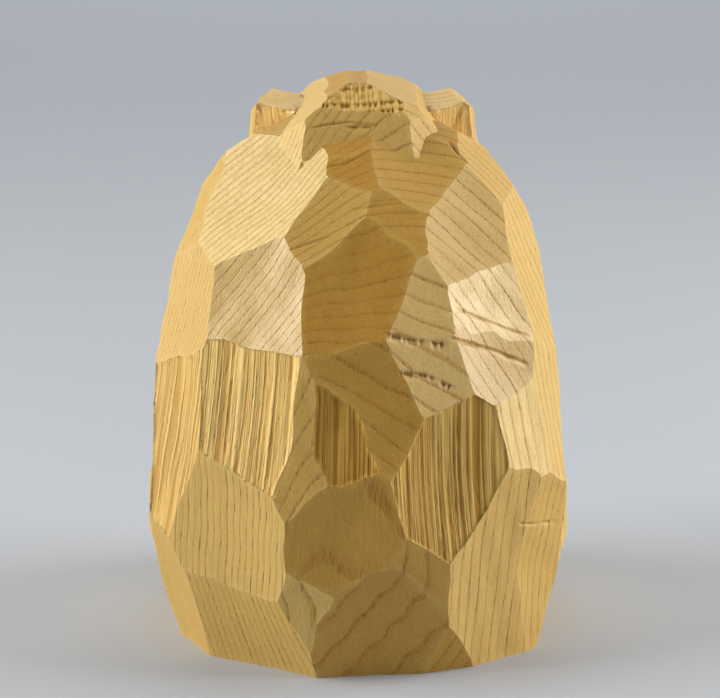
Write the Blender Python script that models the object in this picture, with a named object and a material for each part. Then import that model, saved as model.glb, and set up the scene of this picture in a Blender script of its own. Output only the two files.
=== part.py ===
"""Seated bear, hewn from one upright block of ash with flat gouges, with two bead eyes.

Frame: metres, +Z up, the bear faces -Y and its left side is at +X.  The origin is on the resting
face, under the middle of the figure's outline.
Lengths in the tables are millimetres and are turned into metres by MM.
"""
import math

import bmesh
import bpy
import numpy as np
from mathutils import Matrix, Vector

MM = 0.001

# ---------------------------------------------------------------- driving dimensions (mm)
SECTION_POWER = 2.25        # roundness of the torso's plan sections (2 = ellipse)
SHIFT_Y = 0.8               # puts the outline's middle on the Y origin

# Rough form of the torso, from the base up: height, half width, back line, belly line.
TORSO_FORM = [
    (-4.0, 32.6, 37.8, -22.5),
    (0.0, 34.4, 39.8, -24.0),
    (12.0, 38.4, 43.2, -27.5),
    (25.0, 40.3, 44.8, -29.5),
    (39.0, 40.9, 43.9, -30.5),
    (54.0, 40.4, 40.7, -30.0),
    (66.5, 38.9, 35.6, -28.5),
    (78.0, 36.1, 29.0, -26.0),
    (88.0, 32.4, 22.2, -23.0),
    (95.5, 27.4, 15.6, -19.0),
    (101.0, 20.6, 8.6, -14.5),
    (106.0, 12.0, 0.6, -10.0),
]

# Gouge cuts on the back and flanks: x and z of the middle of the cut, and how far the cut goes
# below the rough form.  Every cut is flat and square to the rough form at its middle.
BACK_CUTS = [
    # nape band, under the head
    (13.7, 103.6, 0.2), (-1.4, 105.0, 0.0), (-14.5, 103.2, 0.2),
    # shoulders
    (14.0, 98.0, 0.1), (20.6, 88.0, 0.3), (-9.6, 98.6, 0.1), (-22.8, 87.0, 0.3),
    (-25.0, 95.0, 0.9), (23.2, 96.4, 0.9), (31.0, 87.4, 0.4),
    # between the shoulder blades
    (1.6, 101.6, 0.0), (6.4, 90.2, 0.4), (-8.2, 90.4, 0.1),
    # middle of the back
    (18.9, 74.4, 0.3), (0.6, 77.2, 0.6), (-13.4, 73.4, 0.3), (-26.1, 72.6, 0.3),
    (33.2, 71.4, 0.2), (-33.6, 76.4, 0.2), (-27.1, 60.0, 0.3), (-14.0, 61.4, 0.1),
    (-3.0, 55.4, 0.3), (21.4, 52.4, 0.8), (36.4, 51.8, 0.3), (-37.8, 54.0, 0.2),
    # loins
    (6.6, 48.8, 0.5), (10.9, 42.6, 0.2), (-18.2, 41.0, 0.9), (-32.6, 46.0, 0.2),
    # seat
    (23.4, 29.2, 0.5), (4.5, 29.4, 0.7), (-11.3, 22.6, 0.1), (-26.4, 17.6, 0.5),
    (35.0, 27.0, 0.3), (-35.8, 24.0, 0.3),
]

# Cuts that pare the seat in towards the base: x and y where the cut meets the table, the way it
# faces in plan (deg from the back towards +X), and its lean from upright (deg).
BASE_CUTS = [
    (32.0, 14.6, 59.0, 14.0), (19.8, 29.6, 41.0, 18.0), (6.5, 38.6, 15.0, 17.0),
    (-8.0, 37.9, -14.0, 18.0), (-21.8, 29.6, -42.0, 18.0), (-32.4, 15.0, -67.0, 13.0),
]

# Rows of cuts round the belly and chest: height, number of cuts, half of the arc they cover (deg).
BELLY_ROWS = [(8.0, 7, 100.0), (27.0, 8, 103.0), (46.0, 7, 100.0), (64.0, 8, 103.0),
              (81.0, 7, 100.0), (95.0, 6, 96.0), (105.0, 5, 100.0)]

# Rounded lumps left standing on the block, each hewn all over with flat cuts:
# name, middle, half sizes, turn about X / Y / Z (deg), rows of cuts, cuts in the widest row.
LUMPS = [
    ("belly", (0.0, -21.0, 38.5), (22.0, 14.5, 26.5), (0.0, 0.0, 0.0), 5, 9),
    ("chest", (0.0, -17.0, 70.5), (20.0, 13.5, 18.0), (0.0, 0.0, 0.0), 4, 9),
    ("head", (0.0, -8.5, 87.5), (21.5, 26.5, 27.0), (0.0, 0.0, 0.0), 6, 11),
    ("cheeks", (0.0, -21.0, 84.0), (18.5, 15.0, 13.0), (0.0, 0.0, 0.0), 4, 9),
    ("muzzle", (0.0, -33.5, 83.5), (9.6, 11.2, 8.2), (-6.0, 0.0, 0.0), 4, 8),
    ("nose", (0.0, -43.0, 87.0), (3.8, 2.9, 3.0), (0.0, 0.0, 0.0), 3, 6),
    ("haunch_left", (23.4, -3.0, 19.5), (22.0, 36.0, 26.6), (0.0, 0.0, 0.0), 5, 11),
    ("haunch_right", (-24.0, -5.0, 18.5), (22.0, 32.0, 25.4), (0.0, 0.0, 0.0), 5, 11),
    ("lap", (0.0, -24.0, 17.0), (16.0, 13.0, 17.0), (0.0, 0.0, 0.0), 4, 8),
    ("knee_left", (22.6, -26.5, 22.0), (13.6, 13.5, 15.0), (0.0, 0.0, 0.0), 4, 8),
    ("knee_right", (-22.6, -26.5, 22.0), (13.6, 13.5, 15.0), (0.0, 0.0, 0.0), 4, 8),
    ("foot_left", (16.6, -35.6, 9.5), (10.4, 9.6, 12.6), (10.0, 0.0, 8.0), 4, 8),
    ("foot_right", (-16.6, -35.6, 9.5), (10.4, 9.6, 12.6), (10.0, 0.0, -8.0), 4, 8),
]

# Limbs, each a long lump between two points: name, start, end, thickness, rows, cuts in a row.
LIMBS = [
    ("upper_arm_left", (22.6, -8.0, 82.0), (23.0, -24.0, 58.0), 10.2, 5, 8),
    ("upper_arm_right", (-22.6, -8.0, 82.0), (-23.0, -24.0, 58.0), 10.2, 5, 8),
    ("forearm_left", (22.5, -26.0, 57.0), (12.5, -35.0, 46.0), 8.0, 4, 7),
    ("forearm_right", (-22.5, -26.0, 57.0), (-12.5, -35.0, 46.0), 8.0, 4, 7),
]

# Extra flat cuts on some lumps: the crown, which shows above the shoulders, and the outer sides
# of the haunches.  Each is a point on the cut and the direction that the cut faces.
EXTRA_CUTS = {
    "head": [((0.6, -13.0, 112.8), (0.02, 0.06, 1.0)),
             ((2.7, -13.0, 112.7), (0.55, 0.1, 1.0)),
             ((6.8, -13.0, 110.45), (0.79, 0.12, 1.0)),
             ((-2.9, -13.0, 112.6), (-0.41, 0.1, 1.0)),
             ((-12.2, -13.0, 108.75), (-1.2, 0.12, 1.0)),
             ((0.0, 0.0, 111.6), (-0.05, 0.60, 0.8)),
             ((0.0, -13.0, 112.8), (0.0, -0.6, 1.0)),
             ((0.0, 6.6, 104.0), (0.0, 0.90, 0.44)),
             ((14.5, 2.6, 100.0), (0.55, 0.70, 0.45)),
             ((-14.5, 2.6, 100.0), (-0.55, 0.70, 0.45))],
    "haunch_left": [((42.6, -2.0, 25.0), (1.0, 0.0, 0.02)), ((40.2, -2.0, 9.0), (1.0, 0.12, -0.30)),
                    ((39.5, 14.0, 28.0), (1.0, 0.52, 0.05)), ((37.5, -26.0, 22.0), (1.0, -0.45, 0.1))],
    "haunch_right": [((-42.9, -2.0, 25.0), (-1.0, 0.0, 0.02)), ((-40.6, -2.0, 9.0), (-1.0, 0.12, -0.30)),
                     ((-40.2, 12.0, 28.0), (-1.0, 0.55, 0.05)), ((-37.5, -26.0, 22.0), (-1.0, -0.45, 0.1))],
}

# Ears: small blocks with pared corners; middle, half sizes, turn about X / Y / Z (deg).
EARS = [
    ("ear_left", (16.7, -12.0, 100.0), (5.0, 4.6, 7.2), (-8.0, -10.0, -10.0)),
    ("ear_right", (-18.4, -12.0, 100.2), (5.0, 4.6, 7.2), (-8.0, 12.0, 14.0)),
]
EAR_PARING = 1.7               # width left by a pared corner
EAR_DISH = (3.2, 3.0, 4.4)     # half sizes of the hollow cut into the front of each ear

# Mouth: a V cut across the end of the muzzle.
MOUTH_Z, MOUTH_TIP_Y, MOUTH_GAPE = 79.6, -37.5, 1.9

# V cuts between the toes and between the fingers: x, y, z of the cut's middle, its length, width,
# depth direction is -Y; lean about X (deg).
TOE_CUTS = [(x + side * 17.4, -45.4, z, 9.0, 1.7, 12.0)
            for side in (-1, 1) for x, z in ((-3.4, 14.5), (0.6, 15.5), (4.4, 14.0))]
FINGER_CUTS = [(side * x, y, 42.2, 7.0, 1.5, -14.0)
               for side in (-1, 1) for x, y in ((8.2, -42.0), (11.4, -42.6), (14.6, -42.0))]

EYE_X, EYE_Z = 8.8, 93.8       # bead middle, from the face's middle line and from the base
BEAD_RADIUS = 2.1
BEAD_THICKNESS = 3.0           # the bead is a flattened ball, this thick along its shank
BEAD_SUNK = 1.3                # how far the bead's middle lies below the hewn face
SHANK_RADIUS = 0.45
SHANK_LENGTH = 6.0
CLEARANCE = 0.3                # between a bead or a shank and the wood round it


# ---------------------------------------------------------------- helpers
def remove_everything():
    for ob in list(bpy.data.objects):
        bpy.data.objects.remove(ob, do_unlink=True)


def smooth_table(rows, z):
    """Catmull-Rom curve through the rows of the form table, read at height z."""
    t = np.array(rows, dtype=float)
    i = int(np.clip(np.searchsorted(t[:, 0], z) - 1, 0, len(t) - 2))
    p1, p2 = t[i], t[i + 1]
    p0 = t[i - 1] if i > 0 else 2 * p1 - p2
    p3 = t[i + 2] if i + 2 < len(t) else 2 * p2 - p1
    h = p2[0] - p1[0]
    s = (z - p1[0]) / h
    m1 = (p2 - p0) / (p2[0] - p0[0]) * h
    m2 = (p3 - p1) / (p3[0] - p1[0]) * h
    v = ((2 * s ** 3 - 3 * s ** 2 + 1) * p1 + (s ** 3 - 2 * s ** 2 + s) * m1
         + (-2 * s ** 3 + 3 * s ** 2) * p2 + (s ** 3 - s ** 2) * m2)
    return v[1], v[2], v[3]


def torso_level(x, y, z):
    """Less than one inside the rough torso, one on its skin."""
    half, back, belly = smooth_table(TORSO_FORM, z)
    mid, deep = (back + belly) / 2, (back - belly) / 2
    n = SECTION_POWER
    return (abs(x / half) ** n + abs((y - mid) / deep) ** n) ** (1 / n)


def torso_normal(p):
    e = 0.05
    g = [torso_level(*(np.array(p) + d)) - torso_level(*(np.array(p) - d))
         for d in (np.array([e, 0, 0]), np.array([0, e, 0]), np.array([0, 0, e]))]
    return Vector(g).normalized()


def torso_point_behind(x, z):
    """The point of the rough torso's back with this x and z."""
    half, back, belly = smooth_table(TORSO_FORM, z)
    mid, deep = (back + belly) / 2, (back - belly) / 2
    n = SECTION_POWER
    f = max(0.0, 1 - abs(x / half) ** n)
    return Vector((x, mid + deep * f ** (1 / n), z))


def torso_point_round(angle, z):
    """The point of the rough torso at this angle from straight ahead (-Y) and this height."""
    half, back, belly = smooth_table(TORSO_FORM, z)
    mid, deep = (back + belly) / 2, (back - belly) / 2
    n = SECTION_POWER
    s, c = math.sin(angle), -math.cos(angle)
    r = (abs(s / half) ** n + abs(c / deep) ** n) ** (-1 / n)
    return Vector((r * s, mid + r * c, z))


def hewn(name, low, high, cuts):
    """A block cut flat once for each (point, direction), the waste being on the direction's side."""
    bm = bmesh.new()
    bmesh.ops.create_cube(bm, size=1.0)
    low, high = Vector(low), Vector(high)
    for v in bm.verts:
        v.co = Vector((low[k] + (v.co[k] + 0.5) * (high[k] - low[k]) for k in range(3)))
    for point, facing in cuts:
        cut = bmesh.ops.bisect_plane(bm, geom=bm.verts[:] + bm.edges[:] + bm.faces[:], dist=2e-3,
                                     plane_co=point, plane_no=facing, clear_outer=True)
        rim = [e for e in cut["geom_cut"] if isinstance(e, bmesh.types.BMEdge)]
        if len(rim) > 2:
            bmesh.ops.edgeloop_fill(bm, edges=rim)
    bmesh.ops.recalc_face_normals(bm, faces=bm.faces[:])
    for v in bm.verts:
        v.co = (v.co + Vector((0, SHIFT_Y, 0))) * MM
    mesh = bpy.data.meshes.new(name)
    bm.to_mesh(mesh)
    bm.free()
    ob = bpy.data.objects.new(name, mesh)
    bpy.context.collection.objects.link(ob)
    return ob


def turn(degrees):
    rx, ry, rz = (math.radians(d) for d in degrees)
    return (Matrix.Rotation(rz, 3, "Z") @ Matrix.Rotation(ry, 3, "Y") @ Matrix.Rotation(rx, 3, "X"))


def lump_cuts(middle, half, degrees, rows, around):
    """Flat cuts all over an ellipsoid, in staggered rows that hold fewer cuts near the poles."""
    rot = turn(degrees)
    middle = Vector(middle)
    out = []
    for r in range(rows):
        lat = math.radians(-90 + 180 * (r + 0.5) / rows)
        count = max(3, round(around * math.cos(lat)))
        for k in range(count):
            wobble = 0.16 * math.sin(7.3 * r + 4.1 * k)
            lon = 2 * math.pi * (k + 0.5 * (r % 2) + wobble) / count
            la = lat + 0.10 * math.sin(3.7 * k + 1.9 * r)
            d = Vector((math.cos(la) * math.sin(lon), -math.cos(la) * math.cos(lon), math.sin(la)))
            local = Vector((half[i] * d[i] for i in range(3)))
            facing = Vector((d[i] / half[i] for i in range(3))).normalized()
            sink = 0.25 + 0.25 * math.sin(5.1 * k + 2.3 * r)
            out.append((middle + rot @ (local - facing * sink), rot @ facing))
    return out


def material(name, colour, roughness, metallic=0.0):
    mat = bpy.data.materials.new(name)
    mat.use_nodes = True
    shader = mat.node_tree.nodes["Principled BSDF"]
    shader.inputs["Base Color"].default_value = (*colour, 1.0)
    shader.inputs["Roughness"].default_value = roughness
    shader.inputs["Metallic"].default_value = metallic
    return mat


def boolean(target, tool, operation):
    """Adds the tool to the target, or cuts it away, and keeps the result as plain mesh."""
    mod = target.modifiers.new(tool.name, "BOOLEAN")
    mod.operation = operation
    mod.solver = "EXACT"
    mod.object = tool
    depsgraph = bpy.context.evaluated_depsgraph_get()
    mesh = bpy.data.meshes.new_from_object(target.evaluated_get(depsgraph))
    target.modifiers.remove(mod)
    target.data = mesh
    bpy.data.objects.remove(tool, do_unlink=True)


def rod(name, radius, start, end, sides=16):
    """A round bar from start to end (mm)."""
    start, end = Vector(start) + Vector((0, SHIFT_Y, 0)), Vector(end) + Vector((0, SHIFT_Y, 0))
    bm = bmesh.new()
    place = Matrix.Translation((start + end) / 2 * MM) @ (end - start).to_track_quat("Z", "Y").to_matrix().to_4x4()
    bmesh.ops.create_cone(bm, cap_ends=True, segments=sides, radius1=radius * MM, radius2=radius * MM,
                          depth=(end - start).length * MM, matrix=place)
    mesh = bpy.data.meshes.new(name)
    bm.to_mesh(mesh)
    bm.free()
    mesh.shade_smooth()
    mesh.set_sharp_from_angle(angle=math.radians(40))
    ob = bpy.data.objects.new(name, mesh)
    bpy.context.collection.objects.link(ob)
    return ob


# ---------------------------------------------------------------- the block
def torso():
    cuts = []
    for x, z, sink in BACK_CUTS:
        p = torso_point_behind(x, z)
        n = torso_normal(p)
        cuts.append((p - n * sink, n))
    for x, y, plan, lean in BASE_CUTS:
        a, b = math.radians(plan), math.radians(lean)
        cuts.append((Vector((x, y, 0.0)),
                     Vector((math.sin(a) * math.cos(b), math.cos(a) * math.cos(b), -math.sin(b)))))
    for row, (z, count, arc) in enumerate(BELLY_ROWS):
        for k in range(count):
            share = (k + 0.5) / count * 2 - 1 + 0.05 * math.sin(5.0 * k + 2.0 * row)
            p = torso_point_round(math.radians(arc) * share, z + 3.0 * math.sin(2.6 * k + row))
            n = torso_normal(p)
            cuts.append((p - n * (0.3 + 0.3 * math.sin(3.1 * k + row)), n))
    cuts.append((Vector((0, 0, 105.4)), Vector((0, 0, 1))))
    return hewn("carved_body", (-60, -60, 0), (60, 60, 125), cuts)


def limb_cuts(start, end, thick, rows, around):
    """Cuts over an ellipsoid that runs from start to end and is this thick."""
    start, end = Vector(start), Vector(end)
    axis = end - start
    euler = axis.to_track_quat("Z", "Y").to_euler()
    half = (thick, thick, axis.length / 2 + 0.8 * thick)
    return lump_cuts((start + end) / 2, half, [math.degrees(a) for a in euler], rows, around)


def ear(name, middle, half, degrees):
    """A block with its corners pared off."""
    rot = turn(degrees)
    middle = Vector(middle)
    cuts = []
    for axis in range(3):
        for side in (-1, 1):
            d = Vector((0, 0, 0))
            d[axis] = side
            cuts.append((middle + rot @ (d * half[axis]), rot @ d))
    for sx in (-1, 1):
        for sz in (-1, 1):
            d = Vector((sx, 0, sz)).normalized()
            cuts.append((middle + rot @ Vector((sx * (half[0] - EAR_PARING / 2), 0,
                                                sz * (half[2] - EAR_PARING / 2))), rot @ d))
        for sy in (-1, 1):
            d = Vector((sx, sy, 0)).normalized()
            cuts.append((middle + rot @ Vector((sx * (half[0] - EAR_PARING / 2),
                                                sy * (half[1] - EAR_PARING / 2), 0)), rot @ d))
    return hewn(name, middle - Vector((30, 30, 30)), middle + Vector((30, 30, 30)), cuts)


def v_cut(name, middle, length, width, lean):
    """A V-shaped cutter that enters along +Y, upright but for its lean about X."""
    rot = turn((lean, 0.0, 0.0))
    middle = Vector(middle)
    half = Vector((width, 3.0, length / 2))
    slope = Vector((half[1], half[0], 0)).normalized()
    cuts = [(middle + rot @ Vector((0, half[1], 0)), rot @ Vector((side * slope[0], slope[1], 0)))
            for side in (-1, 1)]
    cuts += [(middle - rot @ Vector((0, half[1], 0)), rot @ Vector((0, -1, 0))),
             (middle + rot @ Vector((0, 0, half[2])), rot @ Vector((0, 0, 1))),
             (middle - rot @ Vector((0, 0, half[2])), rot @ Vector((0, 0, -1)))]
    return hewn(name, middle - Vector((20, 20, 20)), middle + Vector((20, 20, 20)), cuts)


def face_axis(side):
    """Middle of the eye on the head's rough form, and the direction that the face looks there."""
    _, middle, half, _, _, _ = next(row for row in LUMPS if row[0] == "head")
    x, z = side * EYE_X, EYE_Z
    f = 1 - (x / half[0]) ** 2 - ((z - middle[2]) / half[2]) ** 2
    y = middle[1] - half[1] * math.sqrt(f)
    out = Vector((x / half[0] ** 2, (y - middle[1]) / half[1] ** 2, (z - middle[2]) / half[2] ** 2))
    return Vector((x, y, z)), out.normalized()


def bead(name, middle, out):
    """A flattened ball whose short axis runs along the shank."""
    bm = bmesh.new()
    place = (Matrix.Translation((middle + Vector((0, SHIFT_Y, 0))) * MM)
             @ out.to_track_quat("Z", "Y").to_matrix().to_4x4()
             @ Matrix.Diagonal((BEAD_RADIUS * MM, BEAD_RADIUS * MM, BEAD_THICKNESS / 2 * MM, 1.0)))
    bmesh.ops.create_uvsphere(bm, u_segments=20, v_segments=12, radius=1.0, matrix=place)
    mesh = bpy.data.meshes.new(name)
    bm.to_mesh(mesh)
    bm.free()
    mesh.shade_smooth()
    ob = bpy.data.objects.new(name, mesh)
    bpy.context.collection.objects.link(ob)
    return ob


def build():
    remove_everything()
    wood = material("pale_ash", (0.66, 0.46, 0.20), 0.5)
    glass = material("black_glass", (0.012, 0.011, 0.010), 0.06)
    steel = material("steel_wire", (0.55, 0.54, 0.52), 0.35, 1.0)

    # one block: the torso with every lump left standing on it
    body = torso()
    low, high = Vector((-70, -70, 0)), Vector((70, 70, 130))
    for name, middle, half, degrees, rows, around in LUMPS:
        cuts = lump_cuts(middle, half, degrees, rows, around)
        cuts += [(Vector(p), Vector(d).normalized()) for p, d in EXTRA_CUTS.get(name, [])]
        boolean(body, hewn(name, low, high, cuts), "UNION")
    for name, start, end, thick, rows, around in LIMBS:
        boolean(body, hewn(name, low, high, limb_cuts(start, end, thick, rows, around)), "UNION")
    for name, middle, half, degrees in EARS:
        boolean(body, ear(name, middle, half, degrees), "UNION")
        hollow = Vector(middle) + turn(degrees) @ Vector((0, -half[1] - 0.6, 0.8))
        boolean(body, hewn(name + "_hollow", low, high,
                           lump_cuts(hollow, EAR_DISH, degrees, 3, 6)), "DIFFERENCE")

    # mouth, toes and fingers
    gape = math.degrees(math.atan2(MOUTH_GAPE / 2, 12.0))
    jaw = [(Vector((0, MOUTH_TIP_Y, MOUTH_Z)), turn((side * gape, 0, 0)) @ Vector((0, 0, -side)))
           for side in (-1, 1)]
    boolean(body, hewn("mouth", (-14, -60, MOUTH_Z - 8), (14, MOUTH_TIP_Y + 5, MOUTH_Z + 8), jaw),
            "DIFFERENCE")
    for k, (x, y, z, length, width, lean) in enumerate(TOE_CUTS + FINGER_CUTS):
        boolean(body, v_cut(f"toe_cut_{k}", (x, y, z), length, width, lean), "DIFFERENCE")

    # eyes: a socket for the bead, a blind hole for its shank
    for side, word in ((1, "left"), (-1, "right")):
        skin, out = face_axis(side)
        middle = skin - out * BEAD_SUNK
        back = middle - out * (BEAD_THICKNESS / 2 + CLEARANCE)
        tip = back - out * SHANK_LENGTH
        boolean(body, rod("socket", BEAD_RADIUS + CLEARANCE, skin + out * 6, back, 24), "DIFFERENCE")
        boolean(body, rod("hole", SHANK_RADIUS + CLEARANCE, back + out * 1.0, tip - out * CLEARANCE),
                "DIFFERENCE")
        bead("eye_bead_" + word, middle, out).data.materials.append(glass)
        rod("eye_shank_" + word, SHANK_RADIUS, back, tip, 12).data.materials.append(steel)
    body.data.materials.clear()
    body.data.materials.append(wood)


build()
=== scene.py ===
"""Looks of the hewn wooden bear: finely cut surface, ash wood, glass bead eyes, studio."""

import math

import bmesh
import bpy
import numpy as np
from mathutils import Matrix, Vector


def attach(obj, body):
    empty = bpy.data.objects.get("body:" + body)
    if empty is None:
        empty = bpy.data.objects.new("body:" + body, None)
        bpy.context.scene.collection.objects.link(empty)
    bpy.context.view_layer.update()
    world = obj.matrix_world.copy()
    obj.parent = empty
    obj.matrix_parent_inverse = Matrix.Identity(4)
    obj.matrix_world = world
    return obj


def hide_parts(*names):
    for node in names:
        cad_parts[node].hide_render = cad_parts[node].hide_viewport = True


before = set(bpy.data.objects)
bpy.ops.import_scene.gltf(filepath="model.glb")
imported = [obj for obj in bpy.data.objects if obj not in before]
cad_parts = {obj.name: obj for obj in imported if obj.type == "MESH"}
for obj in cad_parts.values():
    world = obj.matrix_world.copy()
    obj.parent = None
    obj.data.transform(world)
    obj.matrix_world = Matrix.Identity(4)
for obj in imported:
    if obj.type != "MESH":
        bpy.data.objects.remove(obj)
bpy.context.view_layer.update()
MM = 0.001

# =============================================================== the carving's form (mm)
SHIFT_Y = 0.8
SECTION_POWER = 2.25
TORSO_FORM = np.array([          # height, half width, back line, belly line
    (-4.0, 32.6, 37.8, -22.5),
    (0.0, 34.4, 39.8, -24.0),
    (12.0, 38.4, 43.2, -27.5),
    (25.0, 40.3, 44.8, -29.5),
    (39.0, 40.9, 43.9, -30.5),
    (54.0, 40.4, 40.7, -30.0),
    (66.5, 38.9, 35.6, -28.5),
    (78.0, 36.1, 29.0, -26.0),
    (88.0, 32.4, 22.2, -23.0),
    (95.5, 27.4, 15.6, -19.0),
    (101.0, 20.6, 8.6, -14.5),
    (106.0, 12.0, 0.6, -10.0),
])

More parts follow.
